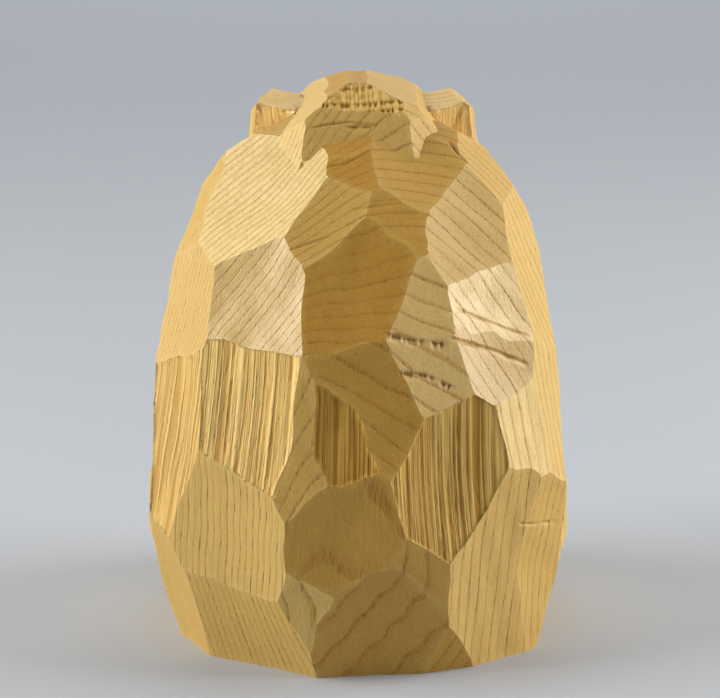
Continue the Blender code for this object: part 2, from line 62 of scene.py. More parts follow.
# The cuts on the back, as a drawing made from behind and a little above: each is the outline of
# the flat that one gouge stroke left, in fifths of a millimetre across and down, and is followed
# by how torn its surface is (0 smooth, 1 torn), its sheen (its gloss, and a painted sheen that
# pales its colour), and its hollowness (1/mm).
DRAW_MID, DRAW_TOP, DRAW_UNIT = 358.0, 349.0, 0.206
EYE_DISTANCE, EYE_LIFT, AIM_Z = 700.0, math.radians(14.0), 57.0
STROKES = {
    "nape_band_left": ([(258, 140), (270, 133), (300, 125), (350, 114), (370, 113), (372, 122), (350, 121),
                        (325, 128), (300, 135), (272, 134)], 0.0, 0.2, 0.0),
    "nape_band_right": ([(370, 113), (385, 112), (430, 125), (450, 136), (458, 146), (440, 138),
                         (400, 128), (372, 122)], 0.0, 0.2, 0.0),
    "nape_lens": ([(276, 135), (300, 135), (325, 128), (350, 121), (375, 123), (375, 129), (338, 130),
                   (328, 138), (310, 139)], 0.0, 0.1, 0.0),
    "blade_top": ([(333, 133), (338, 130), (375, 129), (372, 140), (365, 150), (345, 158), (332, 155)],
                  0.2, 0.0, 0.0),
    "blade_mid": ([(331, 168), (345, 165), (372, 152), (378, 165), (378, 185), (350, 183), (327, 180)],
                  0.1, 0.0, 0.0),
    "shoulder_left": ([(250, 144), (272, 134), (300, 137), (328, 139), (332, 155), (330, 168), (325, 180),
                       (316, 190), (305, 212), (298, 222), (290, 230), (280, 238), (258, 248),
                       (232, 254), (222, 262), (205, 250), (202, 225), (208, 195), (225, 165)],
                      0.0, 0.5, 0.006),
    "shoulder_edge_left": ([(180, 256), (186, 220), (190, 203), (203, 182), (220, 165), (240, 152),
                            (248, 146), (225, 165), (208, 195), (202, 225), (200, 250)], 0.0, 0.2, 0.0),
    "between_left": ([(325, 182), (316, 190), (300, 220), (290, 232), (283, 246), (290, 253), (300, 257),
                      (312, 259), (332, 247), (345, 241), (352, 226), (371, 210), (370, 190), (350, 184)],
                     0.15, 0.0, 0.01),
    "between_right": ([(371, 188), (405, 203), (418, 213), (430, 220), (430, 235), (414, 250), (418, 258),
                       (400, 235), (385, 225), (370, 218), (352, 228), (371, 210)], 0.1, 0.0, 0.0),
    "flank_left_bright": ([(277, 241), (283, 247), (300, 256), (312, 259), (309, 270), (306, 285),
                           (305, 300), (306, 310), (303, 320), (298, 330), (284, 346), (255, 350),
                           (230, 346), (215, 342), (217, 310), (219, 275), (222, 262), (233, 253),
                           (262, 246)], 0.0, 1.0, 0.01),
    "middle_dark": ([(312, 259), (332, 247), (345, 241), (352, 228), (370, 218), (385, 225), (400, 235),
                     (418, 258), (411, 285), (408, 300), (400, 315), (386, 334), (345, 350), (318, 362),
                     (306, 345), (303, 325), (306, 310), (305, 285)], 0.0, 0.0, 0.012),
    "shoulder_right": ([(378, 132), (400, 130), (430, 140), (450, 155), (457, 165), (460, 183), (438, 187),
                        (436, 215), (428, 218), (400, 203), (377, 185), (378, 165), (372, 150)],
                       0.0, 0.2, 0.006),
    "shoulder_low_right": ([(457, 165), (468, 164), (480, 178), (500, 210), (506, 235), (513, 262),
                            (512, 272), (490, 266), (483, 270), (478, 278), (450, 278), (420, 262),
                            (414, 250), (430, 235), (437, 213), (438, 187), (460, 183)], 0.0, 0.4, 0.008),
    "shoulder_edge_right": ([(477, 149), (503, 171), (505, 176), (508, 190), (500, 205), (480, 180),
                             (455, 150), (465, 146)], 0.0, 0.2, 0.0),
    "side_right_high": ([(508, 185), (512, 192), (521, 222), (529, 256), (539, 295), (548, 330),
                         (549, 350), (530, 345), (525, 320), (518, 290), (513, 262), (506, 235),
                         (500, 210)], 0.0, 0.2, 0.0),
    "side_right_mid": ([(549, 352), (554, 400), (557, 425), (552, 450), (545, 468), (540, 450), (533, 420),
                        (530, 396), (530, 347)], 0.0, 0.2, 0.0),
    "rib_right": ([(413, 268), (420, 262), (450, 278), (446, 305), (448, 330), (450, 334), (420, 336),
                   (386, 333), (400, 315), (408, 300), (411, 285)], 0.1, 0.6, 0.008),
    "rib_right_bright": ([(450, 278), (478, 278), (490, 266), (512, 272), (518, 290), (530, 336),
                          (500, 330), (470, 322), (450, 330), (446, 305)], 0.0, 1.0, 0.01),
    "rib_low_bright": ([(454, 338), (470, 338), (500, 348), (528, 358), (529, 385), (510, 400), (495, 402),
                        (480, 390), (462, 365)], 0.0, 1.0, 0.01),
    "rib_low_dark": ([(388, 338), (420, 341), (450, 341), (462, 365), (478, 390), (480, 398), (445, 402),
                      (435, 402), (400, 382), (392, 355)], 0.0, 0.7, 0.008),
    "loin_middle": ([(318, 362), (345, 351), (386, 335), (392, 355), (400, 382), (435, 402), (430, 420),
                     (410, 443), (397, 455), (385, 472), (366, 465), (366, 415), (346, 400), (330, 388),
                     (318, 390), (303, 378)], 0.0, 0.1, 0.01),
    "side_left_high": ([(186, 222), (200, 250), (222, 262), (217, 310), (215, 342), (205, 350), (172, 352),
                        (163, 375), (154, 378), (155, 360), (159, 315), (170, 280), (182, 240)],
                       0.0, 0.3, 0.004),
    "side_left_torn": ([(172, 354), (205, 350), (202, 380), (200, 400), (201, 420), (208, 448), (195, 462),
                        (180, 460), (172, 445), (160, 425), (153, 402), (152, 395), (163, 377)],
                       0.8, 0.1, 0.004),
    "loin_left_torn": ([(208, 347), (214, 344), (242, 351), (284, 348), (293, 357), (298, 380), (299, 400),
                        (298, 440), (295, 452), (288, 462), (283, 478), (278, 497), (262, 495), (240, 480),
                        (220, 463), (208, 448), (201, 420), (200, 400), (202, 380), (205, 360)],
                       1.0, 0.1, 0.008),
    "loin_strip": ([(299, 372), (318, 392), (314, 410), (315, 440), (316, 470), (322, 485), (315, 498),
                    (305, 510), (297, 515), (285, 512), (278, 497), (283, 478), (295, 452), (298, 440)],
                   0.2, 0.1, 0.0),
    "loin_mid_torn": ([(318, 394), (330, 390), (346, 402), (365, 417), (365, 465), (360, 478), (345, 483),
                       (332, 490), (322, 485), (316, 470), (314, 410)], 1.0, 0.0, 0.02),
    "loin_right_torn": ([(447, 404), (460, 401), (490, 404), (500, 425), (511, 452), (505, 475),
                         (493, 510), (480, 523), (465, 540), (445, 566), (430, 553), (412, 545),
                         (403, 525), (394, 500), (393, 485), (397, 455), (410, 443), (430, 420)],
                        1.0, 0.0, 0.016),
    "hip_right": ([(495, 402), (530, 396), (540, 450), (545, 470), (511, 462), (511, 452), (500, 425)],
                  0.0, 0.3, 0.0),
    "seat_right": ([(511, 464), (543, 480), (530, 520), (520, 545), (517, 560), (522, 575), (520, 630),
                    (518, 640), (478, 656), (461, 645), (451, 634), (453, 628), (451, 605), (444, 580),
                    (446, 567), (466, 541), (494, 511), (506, 476)], 0.0, 0.3, 0.006),
    "seat_edge_right": ([(562, 518), (562, 530), (558, 553), (545, 587), (530, 622), (521, 638),
                         (523, 575), (518, 560), (521, 545), (531, 521)], 0.0, 0.2, 0.0),
    "seat_left": ([(196, 460), (208, 450), (220, 465), (240, 482), (262, 497), (278, 499), (288, 520),
                   (290, 535), (282, 557), (280, 570), (282, 582), (287, 610), (250, 590), (220, 580),
                   (192, 566), (190, 552), (201, 530), (199, 503), (191, 480)], 0.1, 0.2, 0.006),
    "base_left": ([(192, 570), (220, 584), (250, 594), (288, 615), (300, 622), (313, 647), (312, 670),
                   (275, 662), (250, 655), (225, 647), (212, 642), (202, 610)], 0.1, 0.1, 0.0),
    "base_edge_left": ([(166, 574), (187, 567), (191, 575), (200, 610), (208, 640), (195, 631), (182, 622),
                        (176, 612), (170, 600)], 0.1, 0.1, 0.0),
    "seat_middle": ([(315, 500), (345, 485), (385, 474), (394, 502), (407, 542), (394, 559), (377, 577),
                     (345, 581), (325, 585), (284, 581), (282, 570), (285, 557), (293, 527), (298, 516)],
                    0.0, 0.1, 0.008),
    "seat_step": ([(284, 584), (325, 588), (329, 600), (319, 620), (312, 630), (313, 643), (301, 620),
                   (289, 612)], 0.0, 0.1, 0.0),
    "base_middle": ([(331, 590), (378, 579), (392, 562), (420, 590), (448, 608), (450, 628), (448, 634),
                     (432, 650), (422, 663), (360, 675), (326, 674), (314, 650), (314, 635), (326, 615),
                     (333, 600)], 0.0, 0.1, 0.006),
    "seat_chip_right": ([(394, 557), (409, 546), (430, 555), (443, 568), (444, 582), (449, 605),
                         (424, 590)], 0.0, 0.1, 0.0),
    "base_chip": ([(449, 636), (461, 647), (453, 661), (424, 665), (433, 651)], 0.0, 0.0, 0.0),
}

GOUGE_SWEEP = 0.007     # hollowness every stroke has, from the curve of the gouge's edge
# Painted light and shade on each stroke: how much darker (-1) or lighter (+1) than usual its colour is painted, for
# how the light falls on it.
STROKE_PAINTED_LIGHT = {
    "nape_band_left": -0.25, "nape_band_right": -0.50, "nape_lens": -0.40, "blade_top": -0.50,
    "blade_mid": -0.45, "shoulder_left": 0.80, "between_left": -0.08, "between_right": -0.35,
    "middle_dark": -0.62, "shoulder_right": -0.25, "shoulder_low_right": -0.12,
    "shoulder_edge_right": -0.25, "side_right_high": -0.08, "rib_right_bright": 0.50,
    "rib_low_bright": -0.12, "rib_low_dark": 0.35, "loin_middle": -0.5, "side_left_torn": -0.05,
    "loin_left_torn": 0.50, "loin_strip": -0.25, "loin_mid_torn": -0.55, "loin_right_torn": -0.12,
    "hip_right": 0.50, "seat_right": -0.18, "seat_left": -0.08, "base_left": 0.08,
    "base_edge_left": -0.08, "seat_middle": -0.4, "base_middle": -0.3, "seat_chip_right": -0.38,
    "base_chip": -0.35, "seat_step": 0.2, "rib_right": 0.15,
}
# Tears: where the blade lifted the fibres instead of slicing them. Course in the drawing, reach
# below it, depth (mm), spacing of the pits along it (0 for an unbroken crack).
TEARS = [
    ([(386, 333), (400, 336), (425, 341), (448, 343)], 9.0, 1.0, 4.6),
    ([(450, 337), (475, 344), (500, 352), (529, 364)], 5.0, 0.7, 0.0),
    ([(398, 372), (425, 374), (440, 380), (456, 388)], 8.0, 0.9, 4.4),
    ([(454, 307), (480, 318), (505, 328), (530, 336)], 3.5, 0.45, 0.0),
    ([(448, 140), (458, 152), (469, 164)], 3.0, 0.7, 0.0),
    ([(310, 128), (330, 124), (350, 122), (380, 126)], 2.2, 0.6, 0.0),
    ([(345, 127), (360, 126), (378, 127)], 4.0, 0.8, 4.0),
    ([(287, 251), (305, 245), (330, 236)], 1.8, 0.4, 0.0),
    ([(322, 168), (345, 164), (371, 151)], 1.8, 0.35, 0.0),
    ([(349, 210), (380, 206), (405, 203)], 1.6, 0.3, 0.0),
    ([(518, 523), (530, 524), (556, 521)], 2.4, 0.5, 5.5),
]

# Rough lumps left standing on the block, each pared all over: middle, half sizes, turn, rows, around.
LUMPS = {
    "belly": ((0.0, -21.0, 38.5), (22.0, 14.5, 26.5), (0.0, 0.0, 0.0), 5, 9),
    "chest": ((0.0, -17.0, 70.5), (20.0, 13.5, 18.0), (0.0, 0.0, 0.0), 4, 9),
    "head": ((0.0, -8.5, 87.5), (21.5, 26.5, 27.0), (0.0, 0.0, 0.0), 6, 11),
    "cheeks": ((0.0, -21.0, 84.0), (18.5, 15.0, 13.0), (0.0, 0.0, 0.0), 4, 9),
    "muzzle": ((0.0, -33.5, 83.5), (9.6, 11.2, 8.2), (-6.0, 0.0, 0.0), 4, 8),
    "nose": ((0.0, -43.0, 87.0), (3.8, 2.9, 3.0), (0.0, 0.0, 0.0), 3, 6),
    "haunch_left": ((23.4, -3.0, 19.5), (22.0, 36.0, 26.6), (0.0, 0.0, 0.0), 5, 11),
    "haunch_right": ((-24.0, -5.0, 18.5), (22.0, 32.0, 25.4), (0.0, 0.0, 0.0), 5, 11),
    "lap": ((0.0, -24.0, 17.0), (16.0, 13.0, 17.0), (0.0, 0.0, 0.0), 4, 8),
    "knee_left": ((22.6, -26.5, 22.0), (13.6, 13.5, 15.0), (0.0, 0.0, 0.0), 4, 8),
    "knee_right": ((-22.6, -26.5, 22.0), (13.6, 13.5, 15.0), (0.0, 0.0, 0.0), 4, 8),
    "foot_left": ((16.6, -35.6, 9.5), (10.4, 9.6, 12.6), (10.0, 0.0, 8.0), 4, 8),
    "foot_right": ((-16.6, -35.6, 9.5), (10.4, 9.6, 12.6), (10.0, 0.0, -8.0), 4, 8),
}
LIMBS = {
    "upper_arm_left": ((22.6, -8.0, 82.0), (23.0, -24.0, 58.0), 10.2, 5, 8),
    "upper_arm_right": ((-22.6, -8.0, 82.0), (-23.0, -24.0, 58.0), 10.2, 5, 8),
    "forearm_left": ((22.5, -26.0, 57.0), (12.5, -35.0, 46.0), 8.0, 4, 7),
    "forearm_right": ((-22.5, -26.0, 57.0), (-12.5, -35.0, 46.0), 8.0, 4, 7),
}
EXTRA_CUTS = {      # point on the cut, direction it faces, torn, sheen, and for some the painted light and shade on its colour (+ lighter, - darker)
    "head": [((0.6, -13.0, 112.8), (0.02, 0.06, 1.0), 0.0, 0.1, -0.45),
             ((2.7, -13.0, 112.7), (0.55, 0.1, 1.0), 0.0, 0.1, -0.35),
             ((6.8, -13.0, 110.45), (0.79, 0.12, 1.0), 0.0, 0.3, 0.3),
             ((-2.9, -13.0, 112.6), (-0.41, 0.1, 1.0), 0.0, 0.3, -0.2),
             ((-12.2, -13.0, 108.75), (-1.2, 0.12, 1.0), 0.0, 0.2),
             ((0.0, 0.0, 111.2), (-0.03, 0.62, 0.8), 0.9, 0.0, -0.15),
             ((0.0, -13.0, 112.8), (0.0, -0.6, 1.0), 0.0, 0.2),
             ((0.0, 6.6, 104.0), (0.0, 0.90, 0.44), 0.1, 0.1),
             ((17.0, 3.2, 100.0), (0.62, 0.66, 0.42), 0.1, 0.1, 0.35),
             ((-17.0, 3.2, 100.0), (-0.62, 0.66, 0.42), 0.1, 0.1, -0.2)],
    "haunch_left": [((42.6, -2.0, 25.0), (1.0, 0.0, 0.02), 0.1, 0.2),
                    ((40.2, -2.0, 9.0), (1.0, 0.12, -0.30), 0.1, 0.2),
                    ((39.5, 14.0, 28.0), (1.0, 0.52, 0.05), 0.0, 0.3),
                    ((37.5, -26.0, 22.0), (1.0, -0.45, 0.1), 0.1, 0.2)],
    "haunch_right": [((-42.9, -2.0, 25.0), (-1.0, 0.0, 0.02), 0.1, 0.2),
                     ((-40.6, -2.0, 9.0), (-1.0, 0.12, -0.30), 0.1, 0.2),
                     ((-40.2, 12.0, 28.0), (-1.0, 0.55, 0.05), 0.0, 0.3),
                     ((-37.5, -26.0, 22.0), (-1.0, -0.45, 0.1), 0.1, 0.2)],
}
BELLY_ROWS = [(8.0, 7, 100.0), (27.0, 8, 103.0), (46.0, 7, 100.0), (64.0, 8, 103.0),
              (81.0, 7, 100.0), (95.0, 6, 96.0), (105.0, 5, 100.0)]
EARS = {
    "ear_left": ((16.7, -12.0, 100.0), (5.0, 4.6, 7.2), (-8.0, -10.0, -10.0)),
    "ear_right": ((-18.4, -12.0, 100.2), (5.0, 4.6, 7.2), (-8.0, 12.0, 14.0)),
}
EAR_PARING, EAR_DISH = 1.7, (3.2, 3.0, 4.4)
MOUTH_Z, MOUTH_TIP_Y, MOUTH_GAPE = 79.6, -37.5, 1.9
TOE_CUTS = [(x + side * 17.4, -45.4, z, 9.0, 1.7, 12.0)
            for side in (-1, 1) for x, z in ((-3.4, 14.5), (0.6, 15.5), (4.4, 14.0))]
FINGER_CUTS = [(side * x, y, 42.2, 7.0, 1.5, -14.0)
               for side in (-1, 1) for x, y in ((8.2, -42.0), (11.4, -42.6), (14.6, -42.0))]
EYE_X, EYE_Z, BEAD_RADIUS, BEAD_THICKNESS, BEAD_SUNK = 8.8, 93.8, 2.1, 3.0, 1.3
SHANK_RADIUS, SHANK_LENGTH, CLEARANCE = 0.45, 6.0, 0.3

TORN_DEPTH = 0.55    # deepest grooves of the torn grain
REACH = 26.0         # a stroke's hollowness levels off this far from its middle


def unit(v):
    v = np.asarray(v, float)
    return v / np.linalg.norm(v, axis=-1, keepdims=True)


def turn(degrees):
    rx, ry, rz = (math.radians(d) for d in degrees)
    cx, sx, cy, sy, cz, sz = (math.cos(rx), math.sin(rx), math.cos(ry), math.sin(ry),
                              math.cos(rz), math.sin(rz))
    return (np.array([[cz, -sz, 0], [sz, cz, 0], [0, 0, 1]])
            @ np.array([[cy, 0, sy], [0, 1, 0], [-sy, 0, cy]])
            @ np.array([[1, 0, 0], [0, cx, -sx], [0, sx, cx]]))


def form_at(z):
    """Half width, back line and belly line of the rough torso at heights z."""
    t = TORSO_FORM
    z = np.clip(z, t[0, 0], t[-1, 0])
    i = np.clip(np.searchsorted(t[:, 0], z) - 1, 0, len(t) - 2)
    ext = np.vstack([2 * t[0] - t[1], t, 2 * t[-1] - t[-2]])
    p0, p1, p2, p3 = ext[i], ext[i + 1], ext[i + 2], ext[i + 3]
    h = (p2[..., :1] - p1[..., :1])
    s = (z[..., None] - p1[..., :1]) / h
    m1 = (p2 - p0) / (p2[..., :1] - p0[..., :1]) * h
    m2 = (p3 - p1) / (p3[..., :1] - p1[..., :1]) * h
    v = ((2 * s ** 3 - 3 * s ** 2 + 1) * p1 + (s ** 3 - 2 * s ** 2 + s) * m1
         + (-2 * s ** 3 + 3 * s ** 2) * p2 + (s ** 3 - s ** 2) * m2)
    return v[..., 1], v[..., 2], v[..., 3]


def torso_level(p):
    half, back, belly = form_at(p[..., 2])
    mid, deep = (back + belly) / 2, (back - belly) / 2
    n = SECTION_POWER
    return (np.abs(p[..., 0] / half) ** n + np.abs((p[..., 1] - mid) / deep) ** n) ** (1 / n)


def torso_normal(p):
    g = []
    for k in range(3):
        d = np.zeros(3)
        d[k] = 0.05
        g.append(torso_level(p + d) - torso_level(p - d))
    return unit(np.stack(g, -1))


def torso_round(angle, z):
    half, back, belly = (float(v[0]) for v in form_at(np.array([z])))
    mid, deep = (back + belly) / 2, (back - belly) / 2
    n = SECTION_POWER
    s, c = math.sin(angle), -math.cos(angle)
    r = (abs(s / half) ** n + abs(c / deep) ** n) ** (-1 / n)
    return np.array([r * s, mid + r * c, z])


# --------------------------------------------------------------- reading the drawing onto the form
EYE_BACK = np.array([0.0, math.cos(EYE_LIFT), math.sin(EYE_LIFT)])
EYE_UP = np.array([0.0, -math.sin(EYE_LIFT), math.cos(EYE_LIFT)])
EYE_AT = np.array([0.0, 0.0, AIM_Z]) + EYE_BACK * EYE_DISTANCE


def on_form(across, down):
    """The points of the rough torso that the drawing's points lie on; NaN past its outline."""
    u = (DRAW_MID - across) * DRAW_UNIT
    v = (DRAW_TOP - down) * DRAW_UNIT
    aim = np.array([0.0, 0.0, AIM_Z]) + u[:, None] * np.array([1.0, 0, 0]) + v[:, None] * EYE_UP
    ray = unit(aim - EYE_AT)
    far = np.full(len(u), EYE_DISTANCE - 62.0)
    out = np.full((len(u), 3), np.nan)
    last = torso_level(EYE_AT + ray * far[:, None])
    alive = np.ones(len(u), bool)
    for _ in range(62):
        far2 = far + 1.0
        lev = torso_level(EYE_AT + ray * far2[:, None])
        hit = alive & (last >= 1) & (lev < 1)
        if hit.any():
            lo, hi = far[hit].copy(), far2[hit].copy()
            for _ in range(12):
                mid = (lo + hi) / 2
                inside = torso_level(EYE_AT + ray[hit] * mid[:, None]) < 1
                hi = np.where(inside, mid, hi)
                lo = np.where(inside, lo, mid)
            out[hit] = EYE_AT + ray[hit] * ((lo + hi) / 2)[:, None]
            alive &= ~hit
        far, last = far2, lev
    bad = (out[:, 2] < -1.0) | (out[:, 2] > 105.9)
    out[bad] = np.nan
    return out


def to_drawing(p):
    """Where points of the carving fall in the drawing."""
    d = p - EYE_AT
    k = EYE_DISTANCE / -(d @ EYE_BACK) / DRAW_UNIT
    return DRAW_MID - d[:, 0] * k, DRAW_TOP - (d @ EYE_UP) * k


def within(poly, x, y):
    """Which points lie inside an outline."""
    inside = np.zeros(len(x), bool)
    n = len(poly)
    for i in range(n):
        x1, y1 = poly[i]
        x2, y2 = poly[(i + 1) % n]
        crosses = (y1 > y) != (y2 > y)
        xi = x1 + (y - y1) * (x2 - x1) / ((y2 - y1) if y2 != y1 else 1e-9)
        inside ^= crosses & (x < xi)
    return inside


class Cuts:
    """All the strokes, kept as arrays so that many points can be tested at once."""

    def __init__(self):
        self.c, self.n, self.s, self.t, self.th = [], [], [], [], []
        self.torn, self.sheen, self.tone, self.name = [], [], [], []

    def add(self, point, facing, hollow=(0.0, 0.0), along=None, torn=0.0, sheen=0.2, name="",
            tone=0.0):
        facing = unit(facing)
        ref = np.array([0.0, 0.0, 1.0]) if along is None else np.asarray(along, float)
        if abs(facing @ unit(ref)) > 0.95:
            ref = np.array([0.0, 1.0, 0.0])
        t = unit(ref - facing * (facing @ ref))
        s = np.cross(t, facing)
        self.c.append(np.asarray(point, float))
        self.n.append(facing)
        self.s.append(s)
        self.t.append(t)
        self.th.append(np.array([0, 0, 0, hollow[0], 0, hollow[1]], float))
        self.torn.append(torn)
        self.sheen.append(sheen)
        self.tone.append(tone)
        self.name.append(name)
        return len(self.c) - 1

    def freeze(self):
        for k in ("c", "n", "s", "t", "th", "torn", "sheen", "tone"):
            setattr(self, k, np.array(getattr(self, k), float))
        rng = np.random.default_rng(11)
        m = len(self.c)
        self.w = rng.normal(0, 1, (m, 3, 3)) * np.array([0.33, 0.42, 0.62])[None, :, None]
        self.ph = rng.uniform(0, 6.28, (m, 3))
        self.am = np.tile(np.array([0.10, 0.06, 0.035]), (m, 1))

    def value(self, p, i):
        """Height of points p above the surfaces of strokes i (same length, or one stroke)."""
        d = p - self.c[i]
        h = (d * self.n[i]).sum(-1)
        a = (d * self.s[i]).sum(-1)
        b = (d * self.t[i]).sum(-1)
        q = 1.0 / (1.0 + (a * a + b * b) / REACH ** 2)
        th = self.th[i]
        g = (h + th[..., 0] + th[..., 1] * a + th[..., 2] * b
             - 0.5 * q * (th[..., 3] * a * a + 2 * th[..., 4] * a * b + th[..., 5] * b * b))
        arg = np.einsum("...jk,...k->...j", self.w[i], p) + self.ph[i]
        return g + (self.am[i] * np.sin(arg)).sum(-1)

    def normal(self, p, i):
        e = 0.02
        g = []
        for k in range(3):
            d = np.zeros(3)
            d[k] = e
            g.append(self.value(p + d, i) - self.value(p - d, i))
        return unit(np.stack(g, -1))


CUTS = Cuts()
ADD, CUT_AWAY = [], []          # (list of stroke numbers, middle, radius)


def fit_back():
    """Settles the strokes of the back so that the ridges between them run where the drawing has
    them: each stroke starts square to the rough form and is then shifted, tilted and hollowed a
    little, by descending the mismatch between the deepest stroke and the drawn one."""
    step = 5.0
    gx, gy = np.meshgrid(np.arange(150, 570, step), np.arange(112, 680, step))
    gx, gy = gx.ravel(), gy.ravel()
    pts = on_form(gx, gy)
    ok = ~np.isnan(pts[:, 0])
    gx, gy, pts = gx[ok], gy[ok], pts[ok]
    label = np.full(len(gx), -1)
    names = list(STROKES)
    for k, nm in enumerate(names):
        label[within(STROKES[nm][0], gx, gy) & (label < 0)] = k
    keep = label >= 0
    pts, label = pts[keep], label[keep]
    first = len(CUTS.c)
    used = []
    for k, nm in enumerate(names):
        poly, torn, sheen, hollow = STROKES[nm]
        mine = pts[label == k]
        if len(mine) < 2:
            continue
        c = mine.mean(0)
        n = unit(torso_normal(mine).mean(0))
        c = c - n * (c - mine).dot(n).min() * 0.0
        dish = hollow + GOUGE_SWEEP
        CUTS.add(c, n, (dish, dish * 0.45), torn=torn, sheen=sheen, name=nm, tone=STROKE_PAINTED_LIGHT.get(nm, 0.0))
        used.append(k)
    remap = {k: j for j, k in enumerate(used)}
    sel = np.array([k in remap for k in label])
    pts = pts[sel]
    lab = np.array([remap[k] for k in label[sel]])
    m = len(used)
    c = np.array(CUTS.c[first:])
    n = np.array(CUTS.n[first:])
    s = np.array(CUTS.s[first:])
    t = np.array(CUTS.t[first:])
    th0 = np.array(CUTS.th[first:])
    d = pts[:, None, :] - c[None]
    h = (d * n).sum(-1)
    a = (d * s).sum(-1)
    b = (d * t).sum(-1)
    q = 1.0 / (1.0 + (a * a + b * b) / REACH ** 2)
    feats = np.stack([np.ones_like(a), a / 8, b / 8, -0.5 * q * a * a / 64, -q * a * b / 64,
                      -0.5 * q * b * b / 64], -1)
    scale = np.array([1, 8, 8, 64, 64, 64.0])
    base = h + (feats * (th0 * scale)[None]).sum(-1)
    weight = np.array([0.02, 0.03, 0.03, 0.30, 0.30, 0.30])
    onehot = np.zeros((len(pts), m))
    onehot[np.arange(len(pts)), lab] = 1
    share = 1.0 / np.maximum(onehot.sum(0), 6)[lab]
    share *= len(share) / share.sum()
    share = np.sqrt(share)
    x = np.zeros((m, 6))
    mom, var = np.zeros_like(x), np.zeros_like(x)
    temp = 0.35
    for it in range(420):
        if it == 200:
            temp = 0.18
        g = (base + np.einsum("pmk,mk->pm", feats, x)) / temp
        g -= g.max(1, keepdims=True)
        e = np.exp(g)
        prob = e / e.sum(1, keepdims=True)
        err = (prob - onehot) * share[:, None] / temp / len(pts)
        grad = np.einsum("pm,pmk->mk", err, feats) + weight * x / m * 2.0
        mom = 0.9 * mom + 0.1 * grad
        var = 0.99 * var + 0.01 * grad ** 2
        rate = 0.04 if it < 300 else 0.015
        x -= rate * (mom / (1 - 0.9 ** (it + 1))) / (np.sqrt(var / (1 - 0.99 ** (it + 1))) + 1e-6)
    g = base + np.einsum("pmk,mk->pm", feats, x)
    good = (g.argmax(1) == lab).mean()
    print("ridges: %d strokes, %.1f%% of the drawing's points on their own stroke, shift %.2f mm"
          % (m, 100 * good, np.abs(x[:, 0]).mean()))
    for j in range(m):
        CUTS.th[first + j] = th0[j] + x[j] / scale
    return list(range(first, first + m))


